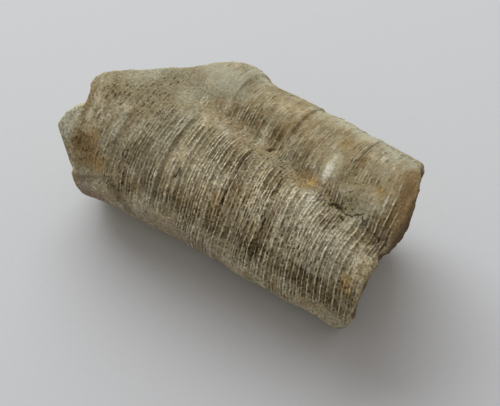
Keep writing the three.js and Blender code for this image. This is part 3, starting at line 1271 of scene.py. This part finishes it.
@dataclass(frozen=True)
class Limestone:
    """Ribbed fossil limestone: pale ring crests, valleys dark with dirt and painted shade, stains, pits,
    cracks, and painted shade by the ledges, along a crease, on the lower front and on the lower right end.
    """

    roughness: float = 0.9
    specular: float = 0.25
    soil_and_shade_share: float = 0.5
    line_share: float = 0.57
    valley_share: float = 0.9
    grain_share: float = 0.9
    hole_share: float = 0.75
    rim_share: float = 0.95
    grain_height: float = 0.16
    line_height: float = 0.07
    valley_depth: float = 0.10
    hole_depth: float = 0.16
    holes: tuple[Holes, ...] = (
        Holes((0.2, 0.45), 0.45, (0.35, 0.9, 0.05, 1.0), stray=0.75, rows=(2.0, 1.0)),
        Holes((0.1, 0.3), 0.76, (0.2, 0.8, 0.3, 0.9), stray=0.95, rows=(1.5, 0.22)),
        Holes((0.1, 0.36), 0.6, (0.1, 0.8, 0.2, 0.95), scale=2.2),
    )
    stains_and_shade: tuple[Stain, ...] = (
        Stain((7.0, -9.4, 19.4), (12.0, 5.0, 4.5), 0.85, 0.3, Tone.CREAM),
        Stain((-3.5, -9.8, 19.2), (5.0, 5.0, 4.0), 0.35, 0.4, Tone.CREAM),
        Stain((-13.5, -8.4, 19.8), (4.0, 4.0, 3.6), 0.4, 0.6, Tone.DRAB),
        Stain((-2.0, -11.6, 16.6), (8.0, 2.0, 1.5), 0.4, 0.5, Tone.OCHRE),
        Stain((19.0, -11.4, 16.4), (5.0, 3.0, 4.0), 0.4, 0.4, Tone.CREAM),
        Stain((5.0, -12.4, 12.5), (15.0, 3.0, 4.5), 0.35, 0.5, Tone.CREAM),
        Stain((-18.5, -12.9, 6.0), (6.5, 3.0, 5.0), 0.8, 0.5, Tone.MAUVE_GREY),
        Stain((-24.2, -9.8, 17.4), (2.0, 3.6, 5.0), 0.9, 0.4, Tone.LICHEN),
        Stain((-19.1, -12.0, 15.0), (3.0, 2.4, 3.4), 0.8, 0.9, Tone.RUST),
        Stain((-17.4, -12.2, 14.2), (1.6, 1.6, 1.5), 0.55, 0.8, Tone.OCHRE),
        Stain((-18.9, -10.8, 18.4), (1.3, 1.3, 1.3), 0.5, 0.7, Tone.OCHRE),
        Stain((-20.6, -11.5, 16.2), (1.7, 1.8, 2.0), 0.65, 0.7, Tone.BROWN),
        Stain((-15.9, -8.9, 20.2), (0.9, 2.2, 1.8), 0.6, 0.4, Tone.LICHEN),
        Stain((-11.0, 2.2, 22.2), (6.5, 4.0, 2.4), 0.6, 0.7, Tone.DRAB),
        Stain((-6.4, 5.0, 22.3), (4.0, 3.4, 2.0), 0.8, 0.5, Tone.GREEN_GREY),
        Stain((10.6, -2.3, 20.2), (2.2, 2.2, 1.8), 0.75, 0.6, Tone.RUST),
        Stain((11.6, -2.2, 20.4), (0.9, 1.0, 1.0), 0.7, 0.5, Tone.OCHRE),
        Stain((12.95, -0.8, 21.95), (0.72, 1.8, 1.5), 1.0, 0.35, Tone.WHITE),
        Stain((12.9, -5.2, 20.7), (1.3, 2.6, 1.6), 0.6, 0.6, Tone.WHITE),
        Stain((13.3, -9.2, 19.4), (2.2, 4.0, 2.4), 0.4, 0.5, Tone.PALE),
        Stain((-16.0, -0.6, 21.8), (7.0, 6.5, 4.0), 0.7, 0.5, Tone.GREEN_GREY),
        Stain((4.2, -9.6, 19.6), (2.4, 2.4, 2.2), 0.4, 0.6, Tone.OCHRE),
        # Painted shadows: brown bands just right of the ledges at x 2.6 and 9.2, where the drops face away
        # from the light.
        Stain((3.8, -8.6, 20.4), (0.8, 4.4, 2.6), 0.6, 0.35, Tone.UMBER),
        Stain((10.1, -10.2, 18.6), (0.8, 4.2, 4.2), 0.6, 0.35, Tone.UMBER),
        Stain((-10.0, 6.0, 21.2), (5.0, 3.0, 3.0), 0.4, 0.5, Tone.ASH),
        Stain((13.0, 9.1, 19.6), (8.5, 2.2, 3.0), 0.7, 0.5, Tone.ASH),
        Stain((-6.0, 10.2, 20.8), (4.0, 2.5, 2.5), 0.55, 0.5, Tone.ASH),
        # Painted shade: a mauve cast of reflected light on the shaded lower front.
        Stain((-4.0, -12.4, 7.6), (12.0, 3.0, 4.0), 0.6, 0.4, Tone.MAUVE_GREY),
        Stain((7.0, 3.4, 20.8), (2.0, 2.0, 1.6), 0.6, 0.6, Tone.UMBER),
        Stain((5.0, -2.6, 21.0), (2.0, 1.6, 1.4), 0.6, 0.6, Tone.GREEN_GREY),
        Stain((18.9, -3.0, 21.4), (3.0, 2.8, 1.8), 0.85, 0.4, Tone.GREEN_GREY),
        Stain((18.6, -9.4, 19.0), (4.4, 3.6, 2.8), 0.6, 0.5, Tone.PALE),
        Stain((2.8, -11.0, 18.4), (1.5, 1.6, 1.8), 0.45, 0.6, Tone.OCHRE),
        Stain((9.8, -10.9, 17.6), (1.2, 1.6, 2.2), 0.4, 0.6, Tone.OCHRE),
        Stain((22.9, -11.4, 16.6), (1.1, 1.2, 1.3), 0.8, 0.5, Tone.OCHRE),
        Stain((23.4, -11.8, 15.4), (0.8, 1.0, 1.2), 0.55, 0.5, Tone.OCHRE),
        Stain((20.8, 0.1, 22.4), (0.9, 0.5, 0.8), 0.85, 0.3, Tone.OCHRE),
        Stain((22.9, 5.6, 21.4), (1.9, 2.4, 2.4), 0.7, 0.4, Tone.RUST),
        # Painted shade: dark over the lower part of the right broken end, which faces down and away from the
        # light.
        Stain((26.2, -9.0, 12.0), (1.6, 5.0, 8.0), 1.0, 0.3, Tone.DARK),
        Stain((12.4, 4.5, 22.3), (1.8, 1.8, 1.2), 0.4, 0.5, Tone.OCHRE),
        Stain((3.2, 6.6, 21.2), (3.0, 2.4, 1.6), 0.35, 0.5, Tone.OCHRE),
        Stain((0.4, -10.9, 18.4), (3.0, 1.8, 1.6), 0.4, 0.6, Tone.OCHRE),
        Stain((7.4, -11.4, 17.0), (2.2, 1.4, 2.0), 0.4, 0.6, Tone.OCHRE),
        Stain((22.6, -11.6, 6.8), (3.4, 2.8, 3.2), 0.8, 0.5, Tone.GREEN_GREY),
    )
    dirt_and_shade: tuple[Patch, ...] = (
        Patch((2.0, -12.3, 14.4), (14.0, 2.4, 1.7), 0.35),
        Patch((-13.6, -12.2, 14.0), (2.4, 2.0, 4.0), 0.5),
        Patch((8.0, -6.8, 21.0), (1.7, 2.4, 1.5), 0.9),
        Patch((17.0, -6.6, 20.2), (1.8, 2.4, 1.6), 0.9),
        # Painted shadow: a dark strip just right of the lower part of the ledge at x 9.2.
        Patch((9.4, -11.9, 15.2), (1.4, 2.0, 3.0), 0.4),
        Patch((16.6, -12.3, 13.8), (4.0, 2.4, 2.2), 0.8),
        Patch((17.0, -11.7, 17.0), (2.4, 2.0, 1.6), -0.5),
        Patch((10.6, -11.4, 17.6), (2.4, 2.0, 2.2), -0.5),
        Patch((5.0, -12.0, 6.6), (3.0, 2.0, 2.0), -0.4),
        Patch((11.4, -12.6, 10.6), (2.0, 2.0, 2.6), -0.5),
        Patch((-18.6, -12.6, 6.8), (3.6, 2.4, 2.4), 0.5),
        Patch((-13.6, -1.6, 22.2), (3.2, 3.8, 1.8), 0.9),
        Patch((-3.6, 4.4, 22.0), (2.6, 2.6, 1.8), 0.5),
        Patch((20.4, -12.1, 11.6), (3.0, 2.0, 2.2), 0.4),
        Patch((-8.0, -12.6, 11.0), (4.0, 2.0, 3.4), -0.35),
        Patch((2.5, -12.5, 9.0), (4.5, 2.0, 3.4), -0.6),
        Patch((20.0, -12.2, 9.0), (4.0, 2.0, 3.0), 0.3),
        Patch((-20.4, -11.9, 15.0), (3.0, 2.6, 3.6), 0.6),
        Patch((-17.6, -4.6, 22.2), (3.2, 2.0, 1.6), 0.45),
        Patch((13.0, 0.2, 22.2), (1.6, 2.2, 1.4), -0.9),
        Patch((-16.6, 1.4, 22.2), (7.0, 2.4, 2.6), -0.5),
        Patch((16.6, 1.6, 22.4), (3.4, 3.4, 1.6), 1.1),
        Patch((19.2, -1.4, 22.0), (2.4, 2.2, 1.4), 0.8),
        Patch((8.6, -9.0, 19.6), (9.0, 4.0, 3.4), -0.8),
        Patch((-4.6, -8.8, 20.2), (5.0, 3.4, 2.8), -0.4),
        Patch((17.6, -3.4, 20.8), (1.8, 1.8, 1.4), 0.7),
        Patch((16.0, -11.4, 17.2), (5.0, 2.0, 1.6), -0.4),
        Patch((23.0, -5.6, 20.8), (1.6, 1.8, 1.6), -0.9),
        Patch((23.2, -8.0, 19.2), (1.5, 2.4, 1.8), -0.9),
        Patch((14.0, -12.1, 14.3), (2.2, 1.6, 1.6), -0.5),
        Patch((-13.0, -5.5, 21.6), (2.2, 2.0, 1.4), 0.5),
        Patch((-13.0, -12.6, 11.6), (1.6, 1.4, 1.8), 0.5),
        Patch((-1.0, 5.2, 21.9), (1.8, 1.6, 1.2), 0.4),
        Patch((11.0, 1.5, 22.4), (1.8, 1.2, 1.0), 0.4),
        Patch((-3.4, -3.2, 22.0), (2.6, 2.4, 1.6), -0.5),
        Patch((1.8, -2.4, 21.2), (2.6, 2.0, 1.6), 0.35),
        Patch((-1.0, 8.0, 19.6), (2.2, 3.0, 3.0), 0.6),
        Patch((-9.6, -9.4, 19.4), (2.8, 2.6, 2.4), -0.6),
        Patch((1.6, -2.6, 21.6), (1.4, 1.2, 1.2), 0.5),
        Patch((5.0, -5.4, 21.5), (1.8, 1.6, 1.4), -0.5),
        Patch((8.0, 4.0, 22.0), (14.0, 3.4, 2.4), 0.25),
        Patch((-12.4, 3.0, 22.2), (3.6, 2.6, 1.4), 0.6),
        Patch((5.4, -2.6, 20.8), (4.0, 1.6, 1.4), 0.55),
        Patch((-12.6, -10.6, 18.0), (1.6, 2.0, 2.4), 0.4),
        Patch((-0.6, 3.6, 21.8), (2.6, 3.0, 2.0), 0.5),
        Patch((9.0, -2.6, 20.6), (2.2, 2.0, 1.6), 0.3),
        Patch((15.4, -3.8, 20.2), (1.8, 1.6, 1.4), 0.4),
        Patch((20.4, -5.6, 20.6), (2.2, 1.4, 1.2), -0.5),
        Patch((3.0, -2.6, 21.0), (2.0, 1.4, 1.4), 0.2),
        Patch((-2.8, -0.2, 21.0), (2.4, 2.0, 1.2), 0.4),
        Patch((-2.4, -9.6, 19.8), (2.4, 2.0, 2.0), -0.5),
        Patch((4.6, -9.8, 19.4), (3.2, 3.0, 2.6), -1.0),
        Patch((13.6, -9.2, 19.4), (3.2, 4.0, 2.6), -0.6),
        Patch((18.6, -9.8, 18.8), (5.0, 3.6, 3.2), -0.9),
        Patch((-8.0, 4.0, 22.2), (6.0, 4.0, 2.0), -0.4),
        Patch((18.6, 6.6, 21.8), (3.4, 3.0, 2.0), -0.3),
        Patch((19.6, 1.2, 22.3), (3.0, 2.6, 1.6), 0.8),
        Patch((10.4, 4.6, 21.6), (3.4, 2.6, 2.0), 0.3),
        Patch((4.0, 3.0, 20.8), (3.4, 2.0, 1.8), 0.5),
        Patch((-19.4, -6.0, 21.9), (0.45, 1.6, 1.2), 0.9),
        Patch((-17.3, -4.8, 22.1), (0.4, 2.2, 1.2), 0.9),
        Patch((-15.1, -5.2, 21.8), (0.5, 1.4, 1.2), 0.9),
        Patch((-14.9, -0.9, 22.0), (0.45, 3.2, 1.2), 0.6),
    )
    dark_lines: tuple[DarkLine, ...] = (
        DarkLine(((15.6, -3.8, 19.9), (16.4, -3.7, 20.0), (17.1, -3.8, 20.2)), 0.3, 0.95),
        DarkLine(((17.1, -3.8, 20.2), (17.8, -4.1, 20.3), (18.5, -4.3, 20.3), (19.2, -4.2, 20.3),
               (19.9, -3.9, 20.7), (20.6, -3.6, 21.3)), 0.14, 0.9),
        DarkLine(((17.8, -4.8, 20.0), (18.4, -5.0, 19.9)), 0.22, 0.9),
        DarkLine(((20.6, -4.0, 20.9), (21.6, -4.8, 20.3), (23.2, -5.1, 20.2), (24.2, -5.4, 20.1)), 0.13, 0.8),
        DarkLine(((16.8, -2.4, 21.5), (17.6, -1.8, 22.0)), 0.12, 0.6),
        DarkLine(((17.3, -0.6, 22.3), (18.4, 0.2, 22.3)), 0.10, 0.5),
        DarkLine(((-5.0, -10.5, 18.4), (-4.7, -9.9, 19.3)), 0.3, 0.9),
        DarkLine(((3.6, -0.9, 20.5), (4.2, -0.4, 20.4)), 0.3, 0.85),
        # Painted shade: a soft dark line along the crease above the lump at the lower left.
        DarkLine(((-22.4, -12.6, 9.2), (-20.6, -12.6, 9.6), (-18.0, -12.4, 11.0), (-16.4, -12.6, 12.6),
               (-15.0, -12.6, 13.2), (-14.0, -12.8, 12.0), (-13.0, -12.6, 9.6),
               (-12.2, -12.6, 7.6)), 0.55, 0.3, (1.0, 0.25, 1.0)),
        # Painted shadows: dark lines along the drops of the ledges at x 2.6 and 9.2, which face away from the
        # light.
        DarkLine(((2.5, -3.8, 21.6), (2.5, -5.9, 21.5), (2.3, -7.6, 20.9), (2.5, -8.7, 20.3), (2.8, -10.4, 19.0),
               (3.0, -11.2, 18.3)), 0.15, 0.95, (1.0, 0.5, 0.5)),
        DarkLine(((8.1, -4.2, 21.0), (8.9, -6.8, 21.0), (8.9, -8.4, 20.2), (9.2, -9.8, 19.3), (9.4, -10.8, 18.2),
               (9.4, -11.9, 16.1), (9.5, -12.3, 13.8)), 0.16, 0.75, (1.0, 0.5, 0.5)),
        DarkLine(((-4.1, -5.0, 22.1), (-4.0, -7.3, 21.2), (-3.6, -9.2, 20.3)), 0.12, 0.5, (1.0, 0.5, 0.5)),
        DarkLine(((16.8, -3.7, 20.4), (17.1, -6.6, 19.9), (17.6, -9.2, 19.7)), 0.12, 0.5, (1.0, 0.5, 0.5)),
    )

    @staticmethod
    def _patch_group() -> bpy.types.NodeTree:
        """Builds the group that masks a soft-edged patch.

        Returns:
            The group, with a mask as its output.
        """
        ins = dict.fromkeys(("Place", "Middle", "Size"), "Vector")
        ins.update(dict.fromkeys(("Cloud", "Ragged", "Strength"), "Float"))
        tree, w, given, out = new_group("Patch", "ShaderNodeTree", ins, {"Mask": "Float"})
        away = w.vector("DIVIDE", w.vector("SUBTRACT", given["Place"], given["Middle"]), given["Size"])
        stir = w.times(w.minus(given["Cloud"], 0.5), w.times(given["Ragged"], 3.2))
        mask = w.ramp(w.plus(w.vector("LENGTH", away), stir), 0.35, 1.25, 1.0, 0.0)
        w.feed(out["Mask"], w.times(mask, given["Strength"]))
        return tree

    @staticmethod
    def _dark_line_group() -> bpy.types.NodeTree:
        """Builds the group that masks one straight run of a dark line.

        Returns:
            The group, with a mask as its output.
        """
        ins = {**dict.fromkeys(("Place", "Start", "End", "Squash"), "Vector"), "Width": "Float"}
        tree, w, given, out = new_group("DarkLine", "ShaderNodeTree", ins, {"Mask": "Float"})
        run, here = (
            w.vector("MULTIPLY", w.vector("SUBTRACT", given[to], given["Start"]), given["Squash"])
            for to in ("End", "Place")
        )
        passed, whole = w.vector("DOT_PRODUCT", here, run), w.vector("DOT_PRODUCT", run, run)
        nearest = w.vector("SCALE", run, scale=w.math("DIVIDE", passed, whole, clamp=True))
        far = w.math("DIVIDE", w.vector("DISTANCE", here, nearest), given["Width"])
        w.feed(out["Mask"], w.ramp(far, 0.3, 1.3, 1.0, 0.0))
        return tree

    @staticmethod
    def _line_group() -> bpy.types.NodeTree:
        """Builds the group that draws fine lines along the rings, and dashes of dirt and painted shade
        between them.

        Returns:
            The group, with the lines and the dashes as its outputs.
        """
        ins = {"Place": "Vector", **dict.fromkeys(("Ring", "Count", "Seed", "Dash"), "Float")}
        outs = {"Line": "Float", "Dash": "Float"}
        tree, w, given, out = new_group("Ring lines", "ShaderNodeTree", ins, outs)
        _x, y, z = w.split(given["Place"])
        count = w.line(given["Ring"], given["Count"], w.times(w.swing(given["Place"], 0.5, 3.0), 0.9))
        turn = w.math("COSINE", w.times(count, 2 * np.pi))
        shares = []
        for operation, along in (("ROUND", 0.26), ("FLOOR", given["Dash"])):
            number = w.line(w.math(operation, count), 7.7, given["Seed"])
            where = w.combine(number, w.times(y, along), w.times(z, along))
            shares.append(w.noise(where, 1.0, 2.0, 0.6))
        w.feed(out["Line"], w.times(w.ramp(turn, 0.35, 1.0), w.ramp(shares[0], 0.42, 0.6)))
        w.feed(out["Dash"], w.times(w.ramp(turn, -0.6, 0.3, 1.0, 0.0), w.ramp(shares[1], 0.43, 0.57)))
        return tree

    @staticmethod
    def _wobble(w: Wiring, place: Socket, scale: float) -> Socket:
        """Gives three clouds at once, as a vector."""
        return w.node("ShaderNodeTexNoise", {"Vector": place, "Scale": scale, "Detail": 3.0}).outputs["Color"]

    def _spot(self, w: Wiring) -> Spot:
        """Reads the spot of the stone that is being dressed.

        Args:
            w: the material's wiring.

        Returns:
            What the rest of the finish reads there.
        """
        place = w.vector("SCALE", w.node("ShaderNodeTexCoord").outputs["Object"], scale=1 / MM)
        _x, y, z = w.split(place)
        stirred = w.vector("ADD", place, w.vector("SCALE", self._wobble(w, place, 0.8), scale=1.4))
        values = {
            name: w.node("ShaderNodeAttribute", attribute_name=name).outputs["Fac"]
            for name in ("ring", "skin", "strength", "relief", "soil_and_shade", "crisp", "rim")
        }
        return Spot(place=place, stirred=stirred, y=y, z=z, **values)

    def _ground(self, w: Wiring, spot: Spot) -> Socket:
        """Lays the stone's colours: clouds of buff and green-grey, streaks along the rings, stains, the brown
        rim of the right end, and painted shade by the ledges, on the lower front and on the lower right end.

        Args:
            w: the material's wiring.
            spot: the spot that is being dressed.

        Returns:
            The colour there.
        """
        cloud = w.noise(spot.stirred, 0.17, 4.0, 0.6)
        patches = w.noise(spot.stirred, 0.42, 5.0, 0.62)
        along = spot.ringwise(w, 1.0, 0.3)
        streak = w.noise(along, 0.9, 3.0, 0.6)
        wide = w.noise(w.vector("MULTIPLY", along, (0.5, 0.6, 0.6)), 1.0, 3.0, 0.5)
        broad = w.times(w.ramp(spot.crisp, 0.3, 1.2, 0.85, 0.5), w.ramp(spot.skin, 0.0, 1.0, 0.3, 1.0))
        colour = w.blend(w.ramp(cloud, 0.36, 0.66), Tone.BUFF.rgba, Tone.GREEN_GREY.rgba)
        for share, tone in (
            (w.ramp(patches, 0.5, 0.68, 0.0, 0.7), Tone.OLIVE),
            (w.times(w.ramp(streak, 0.52, 0.66, 0.0, 0.6), spot.skin), Tone.OLIVE),
            (w.times(w.ramp(streak, 0.36, 0.46, 0.5, 0.0), spot.skin), Tone.PALE),
            (w.times(w.ramp(wide, 0.52, 0.66), broad), Tone.UMBER),
        ):
            colour = w.blend(share, colour, tone.rgba)
        group = self._patch_group()
        ragged = w.noise(spot.place, 0.55, 5.0, 0.65)
        for tint in self.stains_and_shade:
            inputs = {"Place": spot.place, "Middle": tint.at, "Size": tint.size, "Cloud": ragged}
            inputs.update({"Ragged": tint.ragged, "Strength": tint.strength})
            colour = w.blend(w.use(group, inputs)["Mask"], colour, tint.tone.rgba)
        rim_brown_and_shade = w.blend(w.ramp(streak, 0.44, 0.66, 0.0, 0.6), Tone.BROWN.rgba, Tone.UMBER.rgba)
        # Painted shade: the brown rim darkens to near black lower down on the right end, which faces away
        # from the light.
        rim_brown_and_shade = w.blend(w.ramp(spot.z, 18.2, 22.4, 0.9, 0.0), rim_brown_and_shade, Tone.RIM_SHADE.rgba)
        return w.blend(w.times(spot.rim, self.rim_share), colour, rim_brown_and_shade)

    def soil_and_shade_at(self, points: np.ndarray) -> np.ndarray:
        """Gives how much more or less dirty than elsewhere each of many points is; one patch is a painted
        shadow strip beside a ledge.
        """
        return sum(patch.amount_at(points) for patch in self.dirt_and_shade)

    @staticmethod
    def _soiled_and_shaded(w: Wiring, spot: Spot) -> Socket:
        """Finds how dirty the stone is at a spot, the painted shade beside one ledge included, from 0 to 1.
        """
        clouds = w.line(w.noise(spot.stirred, 0.3, 4.0, 0.62), 2.0, -0.75)
        return w.math("ADD", clouds, spot.soil_and_shade, clamp=True)

    def _dark_line_mask(self, w: Wiring, spot: Spot) -> Socket:
        """Masks the dark lines: cracks, and painted shadows along ledges and a crease.

        Args:
            w: the material's wiring.
            spot: the spot that is being dressed.

        Returns:
            The share of dark line there.
        """
        group = self._dark_line_group()
        shaken = w.vector("SUBTRACT", self._wobble(w, spot.place, 1.3), (0.5, 0.5, 0.5))
        place = w.vector("ADD", spot.place, shaken)
        line_mask = None
        for line in self.dark_lines:
            for start, end in zip(line.path, line.path[1:]):
                inputs = {"Place": place, "Start": start, "End": end}
                inputs |= {"Squash": line.squash, "Width": line.width}
                here = w.times(w.use(group, inputs)["Mask"], line.strength)
                line_mask = here if line_mask is None else w.most(line_mask, here)
        return line_mask

    def _holed(self, w: Wiring, spot: Spot, soiled_and_shaded: Socket) -> Socket:
        """Masks the holes: small streaks in rows, longer slots, and specks anywhere.

        Args:
            w: the material's wiring.
            spot: the spot that is being dressed.
            soiled_and_shaded: how dirty the stone is there, painted shade included.

        Returns:
            The share of hole there.
        """
        holed = None
        for kind in self.holes:
            place = spot.ringwise(w, *kind.rows) if kind.rows else spot.place
            distance, chance = w.cells(place, kind.scale, kind.stray)
            chosen = w.math("GREATER_THAN", w.split(chance)[0 if kind.rows else 1], kind.rarity)
            hole = w.times(w.ramp(distance, *kind.size, 1.0, 0.0), chosen)
            if kind.rows:
                hole = w.times(hole, spot.skin)
            hole = w.times(hole, w.ramp(soiled_and_shaded, *kind.dirt_and_shade))
            holed = hole if holed is None else w.most(holed, hole)
        return holed

    def material(self) -> bpy.types.Material:
        """Builds the finish.

        Returns:
            The material.
        """
        material, w = new_material("Fossil limestone")
        spot = self._spot(w)
        colour = self._ground(w, spot)
        soiled_and_shaded = self._soiled_and_shaded(w, spot)
        colour = w.blend(w.times(soiled_and_shaded, self.soil_and_shade_share), colour, Tone.SOIL_AND_SHADE.rgba)

        # Ring crests are rubbed pale, and the valleys between them are darkened with dirt and painted shade.
        lined = w.times(w.ramp(spot.strength, 0.0, 0.7, 0.12, 1.1), w.times(spot.skin, spot.crisp))
        group = self._line_group()
        coarse, fine = (
            w.use(group, {"Place": spot.place, "Ring": spot.ring, "Count": count, "Seed": seed, "Dash": dash})
            for count, seed, dash in ((2.0, 3.1, 1.2), (3.0, 41.7, 1.9))
        )
        grain = w.noise(spot.place, 2.6, 4.0, 0.75)
        worn = w.ramp(grain, 0.38, 0.58, 0.45, 1.25)
        rubbed = w.times(w.ramp(spot.relief, 0.4, 1.0, 0.0, 0.85), spot.strength, worn)
        colour = w.blend(rubbed, colour, Tone.PALE.rgba)
        line = w.times(coarse["Line"], lined, worn)
        colour = w.blend(w.times(line, self.line_share), colour, Tone.PALE.rgba)
        # Painted shade, with dirt: the ring valleys darken where the relief is low, and more where the stone
        # is dirty.
        hollow = w.times(w.ramp(spot.relief, 0.02, 0.35, 1.0, 0.0), spot.strength)
        dashes = w.most(coarse["Dash"], w.times(fine["Dash"], 0.6))
        dashes = w.times(dashes, lined, w.ramp(soiled_and_shaded, 0.0, 0.8, 0.6, 1.0))
        dark = w.most(dashes, w.times(hollow, w.ramp(soiled_and_shaded, 0.0, 0.8, 0.5, 0.9)))
        colour = w.blend(w.times(dark, self.valley_share), colour, Tone.DARK.rgba)

        # Grain, holes, cracks and painted shadow lines.
        grey = w.ramp(grain, 0.37, 0.63, 0.62, 1.49)
        share = w.times(spot.crisp, self.grain_share)
        colour = w.blend(share, colour, w.combine(grey, grey, grey), "MULTIPLY")
        holes = w.times(self._holed(w, spot, soiled_and_shaded), spot.crisp)
        colour = w.blend(w.times(holes, self.hole_share), colour, Tone.PIT_AND_SHADE.rgba)
        colour = w.blend(self._dark_line_mask(w, spot), colour, Tone.PIT_AND_SHADE.rgba)

        # Bump for what is finer than the mesh.
        height = w.times(w.minus(grain, 0.5), self.grain_height)
        for part, rise in ((line, self.line_height), (dark, -self.valley_depth), (holes, -self.hole_depth)):
            height = w.line(part, rise, height)
        matt = w.ramp(soiled_and_shaded, 0.0, 1.0, self.roughness - 0.06, self.roughness + 0.05)
        w.surface(colour, matt, height, bump=1.0, specular=self.specular)
        return material


# ---- The stone, put together ----


@dataclass(frozen=True)
class Fossil:
    """The whole stone: its form, its relief and its finish."""

    node: str = "fossil"
    body: str = "root"
    name: str = "ribbed_stone"
    form: FossilForm = field(default_factory=FossilForm)
    relief: StoneRelief = field(default_factory=StoneRelief)
    finish: Limestone = field(default_factory=Limestone)

    def build(self) -> bpy.types.Object:
        """Builds and dresses the stone, and sets it where its solid is.

        Returns:
            The finished piece.
        """
        plain = self.form.mesh()
        low, high = (np.array(corner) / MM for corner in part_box(self.node))
        middle = (plain.points.min(0) + plain.points.max(0)) / 2
        shift = (low + high) / 2 - middle
        shift[2] = 0
        points = plain.points + shift
        placed = FormMesh(points, plain.faces, {**plain.values, "soil_and_shade": self.finish.soil_and_shade_at(points)})
        piece = self.relief.raise_on(placed.to_object("plain_form"), self.finish.material(), self.name)
        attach(piece, self.body)
        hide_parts(self.node)
        LOG.info("%s: %d triangles", self.name, len(piece.data.polygons))
        return piece


# ---- The sheet, the light and the camera ----


@dataclass(frozen=True)
class Studio:
    """The pale sheet under the stone, soft window light and the camera. Sizes are in millimetres."""

    turn: float = 34.5
    lift: float = 51.0
    distance: float = 208.0
    lens: float = 105.0
    sensor: float = 36.0
    target: Triple = (0.0, 0.0, 10.0)
    shift_right: float = 0.04
    shift_up: float = -2.86
    sheet_size: float = 1600.0
    sheet_colour: Triple = (0.68, 0.695, 0.72)
    fibres_per_mm: float = 1.6
    fibre_shade: float = 0.985
    fibre_height: float = 0.03
    window_at: Triple = (-430.0, 330.0, 460.0)
    window_target: Triple = (0.0, 0.0, 8.0)
    window_size: float = 800.0
    window_power: float = 5.2
    window_colour: Triple = (0.955, 0.985, 1.0)
    room_colour: Triple = (1.0, 0.94, 0.89)
    room_strength: float = 0.385

    def _camera_axes(self) -> tuple[Vector, Vector, Vector]:
        """Works out the camera's own directions.

        Returns:
            Its right, up and back directions.
        """
        a, e = np.radians(self.turn), np.radians(self.lift)
        right = Vector((np.cos(a), np.sin(a), 0))
        up = Vector((-np.sin(a) * np.sin(e), np.cos(a) * np.sin(e), np.cos(e)))
        back = Vector((np.sin(a) * np.cos(e), -np.cos(a) * np.cos(e), np.sin(e)))
        return right, up, back

    def camera(self) -> bpy.types.Object:
        """Sets the camera up.

        Returns:
            The camera.
        """
        right, up, back = self._camera_axes()
        target = Vector(self.target) + self.shift_up * up + self.shift_right * right
        data = bpy.data.cameras.new("camera")
        data.lens, data.sensor_width = self.lens, self.sensor
        data.clip_start, data.clip_end = 0.005, 10
        camera = new_object("camera", data)
        turn = Matrix((right, up, back)).transposed().to_4x4()
        camera.matrix_world = Matrix.Translation((target + back * self.distance) * MM) @ turn
        bpy.context.scene.camera = camera
        return camera

    def sheet(self) -> bpy.types.Object:
        """Lays the sheet.

        Returns:
            The sheet, which is not part of the stone.
        """
        half = self.sheet_size / 2 * MM
        mesh = bpy.data.meshes.new("sheet")
        corners = [(-half, -half, 0), (half, -half, 0), (half, half, 0), (-half, half, 0)]
        mesh.from_pydata(corners, [], [(0, 1, 2, 3)])
        sheet = new_object("sheet", mesh)
        material, w = new_material("Pale sheet")
        place = w.vector("SCALE", w.node("ShaderNodeTexCoord").outputs["Object"], scale=1 / MM)
        fibre = w.noise(place, self.fibres_per_mm, 3.0, 0.6)
        dark = tuple(channel * self.fibre_shade for channel in self.sheet_colour)
        colour = w.blend(w.ramp(fibre, 0.35, 0.65), (*dark, 1.0), (*self.sheet_colour, 1.0))
        height = w.times(fibre, self.fibre_height)
        w.surface(colour, matt=0.85, height=height, bump=0.5, specular=0.2)
        mesh.materials.append(material)
        return sheet

    def window(self) -> bpy.types.Object:
        """Hangs a soft square light that faces the stone.

        Returns:
            The light.
        """
        data = bpy.data.lights.new("window", "AREA")
        data.shape, data.size = "SQUARE", self.window_size * MM
        data.energy, data.color = self.window_power, self.window_colour
        light = new_object("window", data)
        light.location = Vector(self.window_at) * MM
        facing = Vector(self.window_target) - Vector(self.window_at)
        light.rotation_euler = facing.to_track_quat("-Z", "Y").to_euler()
        return light

    def room(self) -> None:
        """Sets the soft light from all round, and how colours are shown."""
        world = bpy.data.worlds.new("room")
        world.use_nodes = True
        shade = world.node_tree.nodes["Background"]
        shade.inputs["Color"].default_value = (*self.room_colour, 1.0)
        shade.inputs["Strength"].default_value = self.room_strength
        scene = bpy.context.scene
        scene.world = world
        scene.view_settings.view_transform = "Standard"
        scene.view_settings.look = "None"

    def build(self) -> None:
        """Sets up the camera, the sheet and the light."""
        self.camera()
        self.sheet()
        self.window()
        self.room()
        LOG.info("studio: camera, sheet and window light")


def main() -> None:
    """Builds the studio and the stone."""
    logging.basicConfig(level=logging.INFO, format="%(name)s: %(message)s")
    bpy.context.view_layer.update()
    Studio().build()
    Fossil().build()


if __name__ == "__main__":
    main()
